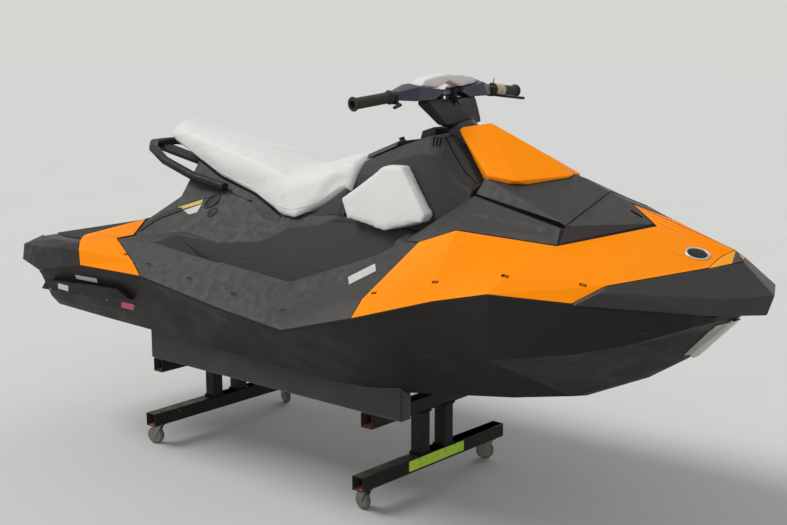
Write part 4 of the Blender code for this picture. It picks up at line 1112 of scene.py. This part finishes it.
dress("column_boot", "column_collar", "craft", GREY, 0.002, over=30)
for node, name, finish, slot, width, over in (
    ("steering_frame", "steering_riser", BLACK, "black_plastic", 0.003, 20),
    ("handlebar", "handlebar_tube", PLATED, "bare_metal", 0.001, 40),
    ("grip_starboard", "hand_grip_starboard", GRIP_RUBBER, "grip_rubber", 0.002, 30),
    ("grip_port", "hand_grip_port", GRIP_RUBBER, "grip_rubber", 0.002, 30),
    ("throttle_lever", "throttle_trigger", BLACK, "black_plastic", 0.0015, 30),
    ("brake_lever", "brake_trigger", BLACK, "black_plastic", 0.0015, 30),
    ("bar_cover_starboard", "head_cover_starboard", NAVY, "navy_plastic", 0.002, 20),
    ("bar_cover_port", "head_cover_port", NAVY, "navy_plastic", 0.002, 20),
):
    dress(node, name, "steering", finish, width, over=over)

BAR_INNER = spot(18.5, 2.5, 13.768)
BAR_OUTER = spot(18.35, 4.2, 13.62)
GRIP_RADIUS = 0.0185


def on_bar(out, side):
    """The point of the bar's axis at a distance off the centre, and the axis there."""
    part = (out - BAR_INNER.y) / (BAR_OUTER.y - BAR_INNER.y)
    point = BAR_INNER.lerp(BAR_OUTER, part)
    axis = (BAR_OUTER - BAR_INNER).normalized()
    return Vector((point.x, point.y * side, point.z)), Vector((axis.x, axis.y * side, axis.z))


def set_on_bar(piece, point, axis):
    """Turns a piece made at the origin to face along the bar, and moves it to a point there."""
    piece.data.transform(Matrix.Translation(point) @ axis.to_track_quat("Z", "X").to_matrix().to_4x4())


FLANGE_RADIUS = GRIP_RADIUS + 0.0008
for side_name, side in SIDES.items():
    for part, out in (("outer", 0.4278), ("inner", 0.2735)):
        flange = add_ring(f"grip_{part}_flange_{side_name}", (0, 0, 0), FLANGE_RADIUS, 0.0042)
        set_on_bar(flange, *on_bar(out, side))
        fit_piece(flange, "steering", GRIP_RUBBER, smooth=60)
    # The dark disc in each grip's open end is painted shade in the bore.
    release()
    bpy.ops.mesh.primitive_cylinder_add(vertices=32, radius=0.0115, depth=0.0016, location=(0, 0, 0))
    bore = bpy.context.object
    bore.name = f"grip_bore_shade_{side_name}"
    open_top(bore)
    bpy.ops.mesh.inset(thickness=0.0022, depth=-0.0008)
    close_mesh()
    set_on_bar(bore, *on_bar(0.4318, side))
    fit_piece(bore, "steering", DARK_JOINT_AND_SHADE)

    release()
    bpy.ops.mesh.primitive_cube_add(size=1, location=(0, 0, 0))
    perch = bpy.context.object
    perch.name = f"lever_perch_{side_name}"
    perch.scale = (0.034, 0.018, 0.036)
    apply_place()
    open_mesh()
    bpy.ops.mesh.select_all(action="SELECT")
    bpy.ops.mesh.bevel(offset=0.006, segments=3, affect="EDGES")
    close_mesh()
    perch.data.transform(Matrix.Translation(on_bar(0.258, side)[0] + Vector((0.004, 0, -0.006))))
    fit_piece(perch, "steering", BLACK)


# The beige cloth tape on the port grip. It is wound round the grip in overlapping turns, and its
# loose end stands up from the inner one.

CLOTH_TAPE = Finish("cloth_tape", 0.85, shine=0.2)
CLOTH_TAPE.tones((90, 6), (226, 214, 190), (196, 180, 150))
CLOTH_TAPE.relief(ribs(CLOTH_TAPE, 220), 0.0004)
WINDING = 48
WRAP_START = 0.272
WRAP_LENGTH = 0.062
TAPE_DEPTH = 0.0022
turns = [on_bar(WRAP_START + WRAP_LENGTH * step / WINDING, 1)[0] for step in range(WINDING + 1)]
axis = on_bar(WRAP_START, 1)[1]
wrap = tube_along("tape_wrap", turns, GRIP_RADIUS + TAPE_DEPTH, sides=7)
for point in wrap.data.vertices:
    reach = (point.co - turns[0]).dot(axis) / WRAP_LENGTH
    away = point.co - turns[0] - axis * (reach * WRAP_LENGTH)
    if away.length > 0.01:
        turned = math.atan2(away.x, away.z)
        swell = 0.0011 * abs(math.sin(reach * 19 + turned * 0.5))
        swell += 0.0012 * math.sin(turned * 3 + reach * 7) ** 2
        fade = min(1.0, 8 * min(max(reach, 0.0), max(1 - reach, 0.0)) + 0.2)
        point.co += away.normalized() * swell * fade
fit_piece(wrap, "steering", CLOTH_TAPE, smooth=50)
tail_foot = on_bar(0.278, 1)[0]
TAIL_STEPS = (
    (0.004, 0.000, 0.019), (0.006, -0.004, 0.025), (0.009, -0.009, 0.031), (0.013, -0.013, 0.036),
    (0.018, -0.015, 0.039),
)
tail = tube_along("tape_end", [tail_foot + Vector(step) for step in TAIL_STEPS], 0.0024)
fit_piece(tail, "steering", CLOTH_TAPE, smooth=60)


# The studio: a pale floor, a pale sky and soft lamps, and the camera at the photograph's angle,
# off the starboard bow.

FLOOR = Finish("pale_floor", 0.9)
FLOOR.tones((1.4,), (206, 205, 202), (212, 211, 208))
release()
bpy.ops.mesh.primitive_plane_add(size=60, location=(0, 0, -0.001))
floor = bpy.context.object
floor.name = "studio_floor"
apply_place()
floor.data.materials.append(FLOOR.material)

world = bpy.data.worlds.new("studio_sky")
bpy.context.scene.world = world
world.use_nodes = True
sky_tree = world.node_tree
sky = sky_tree.nodes["Background"]
sky.inputs["Color"].default_value = screen(240, 243, 248)
sky.inputs["Strength"].default_value = 0.42
backdrop = sky_tree.nodes.new("ShaderNodeBackground")
backdrop.inputs["Color"].default_value = screen(214, 213, 210)
path = sky_tree.nodes.new("ShaderNodeLightPath")
choice = sky_tree.nodes.new("ShaderNodeMixShader")
shows_backdrop = path.outputs["Is Camera Ray"]
for ray in ("Is Glossy Ray", "Is Transmission Ray"):
    either = sky_tree.nodes.new("ShaderNodeMath")
    either.operation = "MAXIMUM"
    sky_tree.links.new(shows_backdrop, either.inputs[0])
    sky_tree.links.new(path.outputs[ray], either.inputs[1])
    shows_backdrop = either.outputs[0]
sky_tree.links.new(shows_backdrop, choice.inputs[0])
sky_tree.links.new(sky.outputs[0], choice.inputs[1])
sky_tree.links.new(backdrop.outputs[0], choice.inputs[2])
sky_tree.links.new(choice.outputs[0], sky_tree.nodes["World Output"].inputs["Surface"])

LAMP_AIM = Vector((0, 0, 0.6))
LAMPS = (
    ("key_lamp", (-2.4, -1.8, 4.6), 30, 1.95),
    ("fill_lamp", (3.4, -4.6, 2.6), 60, 0.55),
    ("rim_lamp", (-0.5, 4.2, 3.4), 40, 0.45),
)
for name, place, spread, strength in LAMPS:
    lamp = bpy.data.lights.new(name, "SUN")
    lamp.angle = math.radians(spread)
    lamp.energy = strength
    holder = bpy.data.objects.new(name, lamp)
    bpy.context.scene.collection.objects.link(holder)
    holder.location = place
    aim = LAMP_AIM - Vector(place)
    holder.rotation_euler = aim.to_track_quat("-Z", "Y").to_euler()

CAMERA_PLACE = Vector((3.0985, -3.4732, 1.6597))
HEADING = math.radians(40.763)
PITCH = math.radians(10.942)
ROLL = math.radians(-0.0546)
ahead = Vector((
    -math.sin(HEADING) * math.cos(PITCH),
    math.cos(HEADING) * math.cos(PITCH),
    -math.sin(PITCH),
))
right = ahead.cross(Vector((0, 0, 1))).normalized()
above = right.cross(ahead)
eye = bpy.data.cameras.new("photo_camera")
eye.sensor_width = 36
eye.lens = 60.67
camera = bpy.data.objects.new("photo_camera", eye)
bpy.context.scene.collection.objects.link(camera)
facing = Matrix((right, above, -ahead)).transposed() @ Matrix.Rotation(ROLL, 3, "Z")
camera.matrix_world = Matrix.Translation(CAMERA_PLACE) @ facing.to_4x4()
bpy.context.scene.camera = camera
bpy.context.scene.view_settings.view_transform = "Standard"
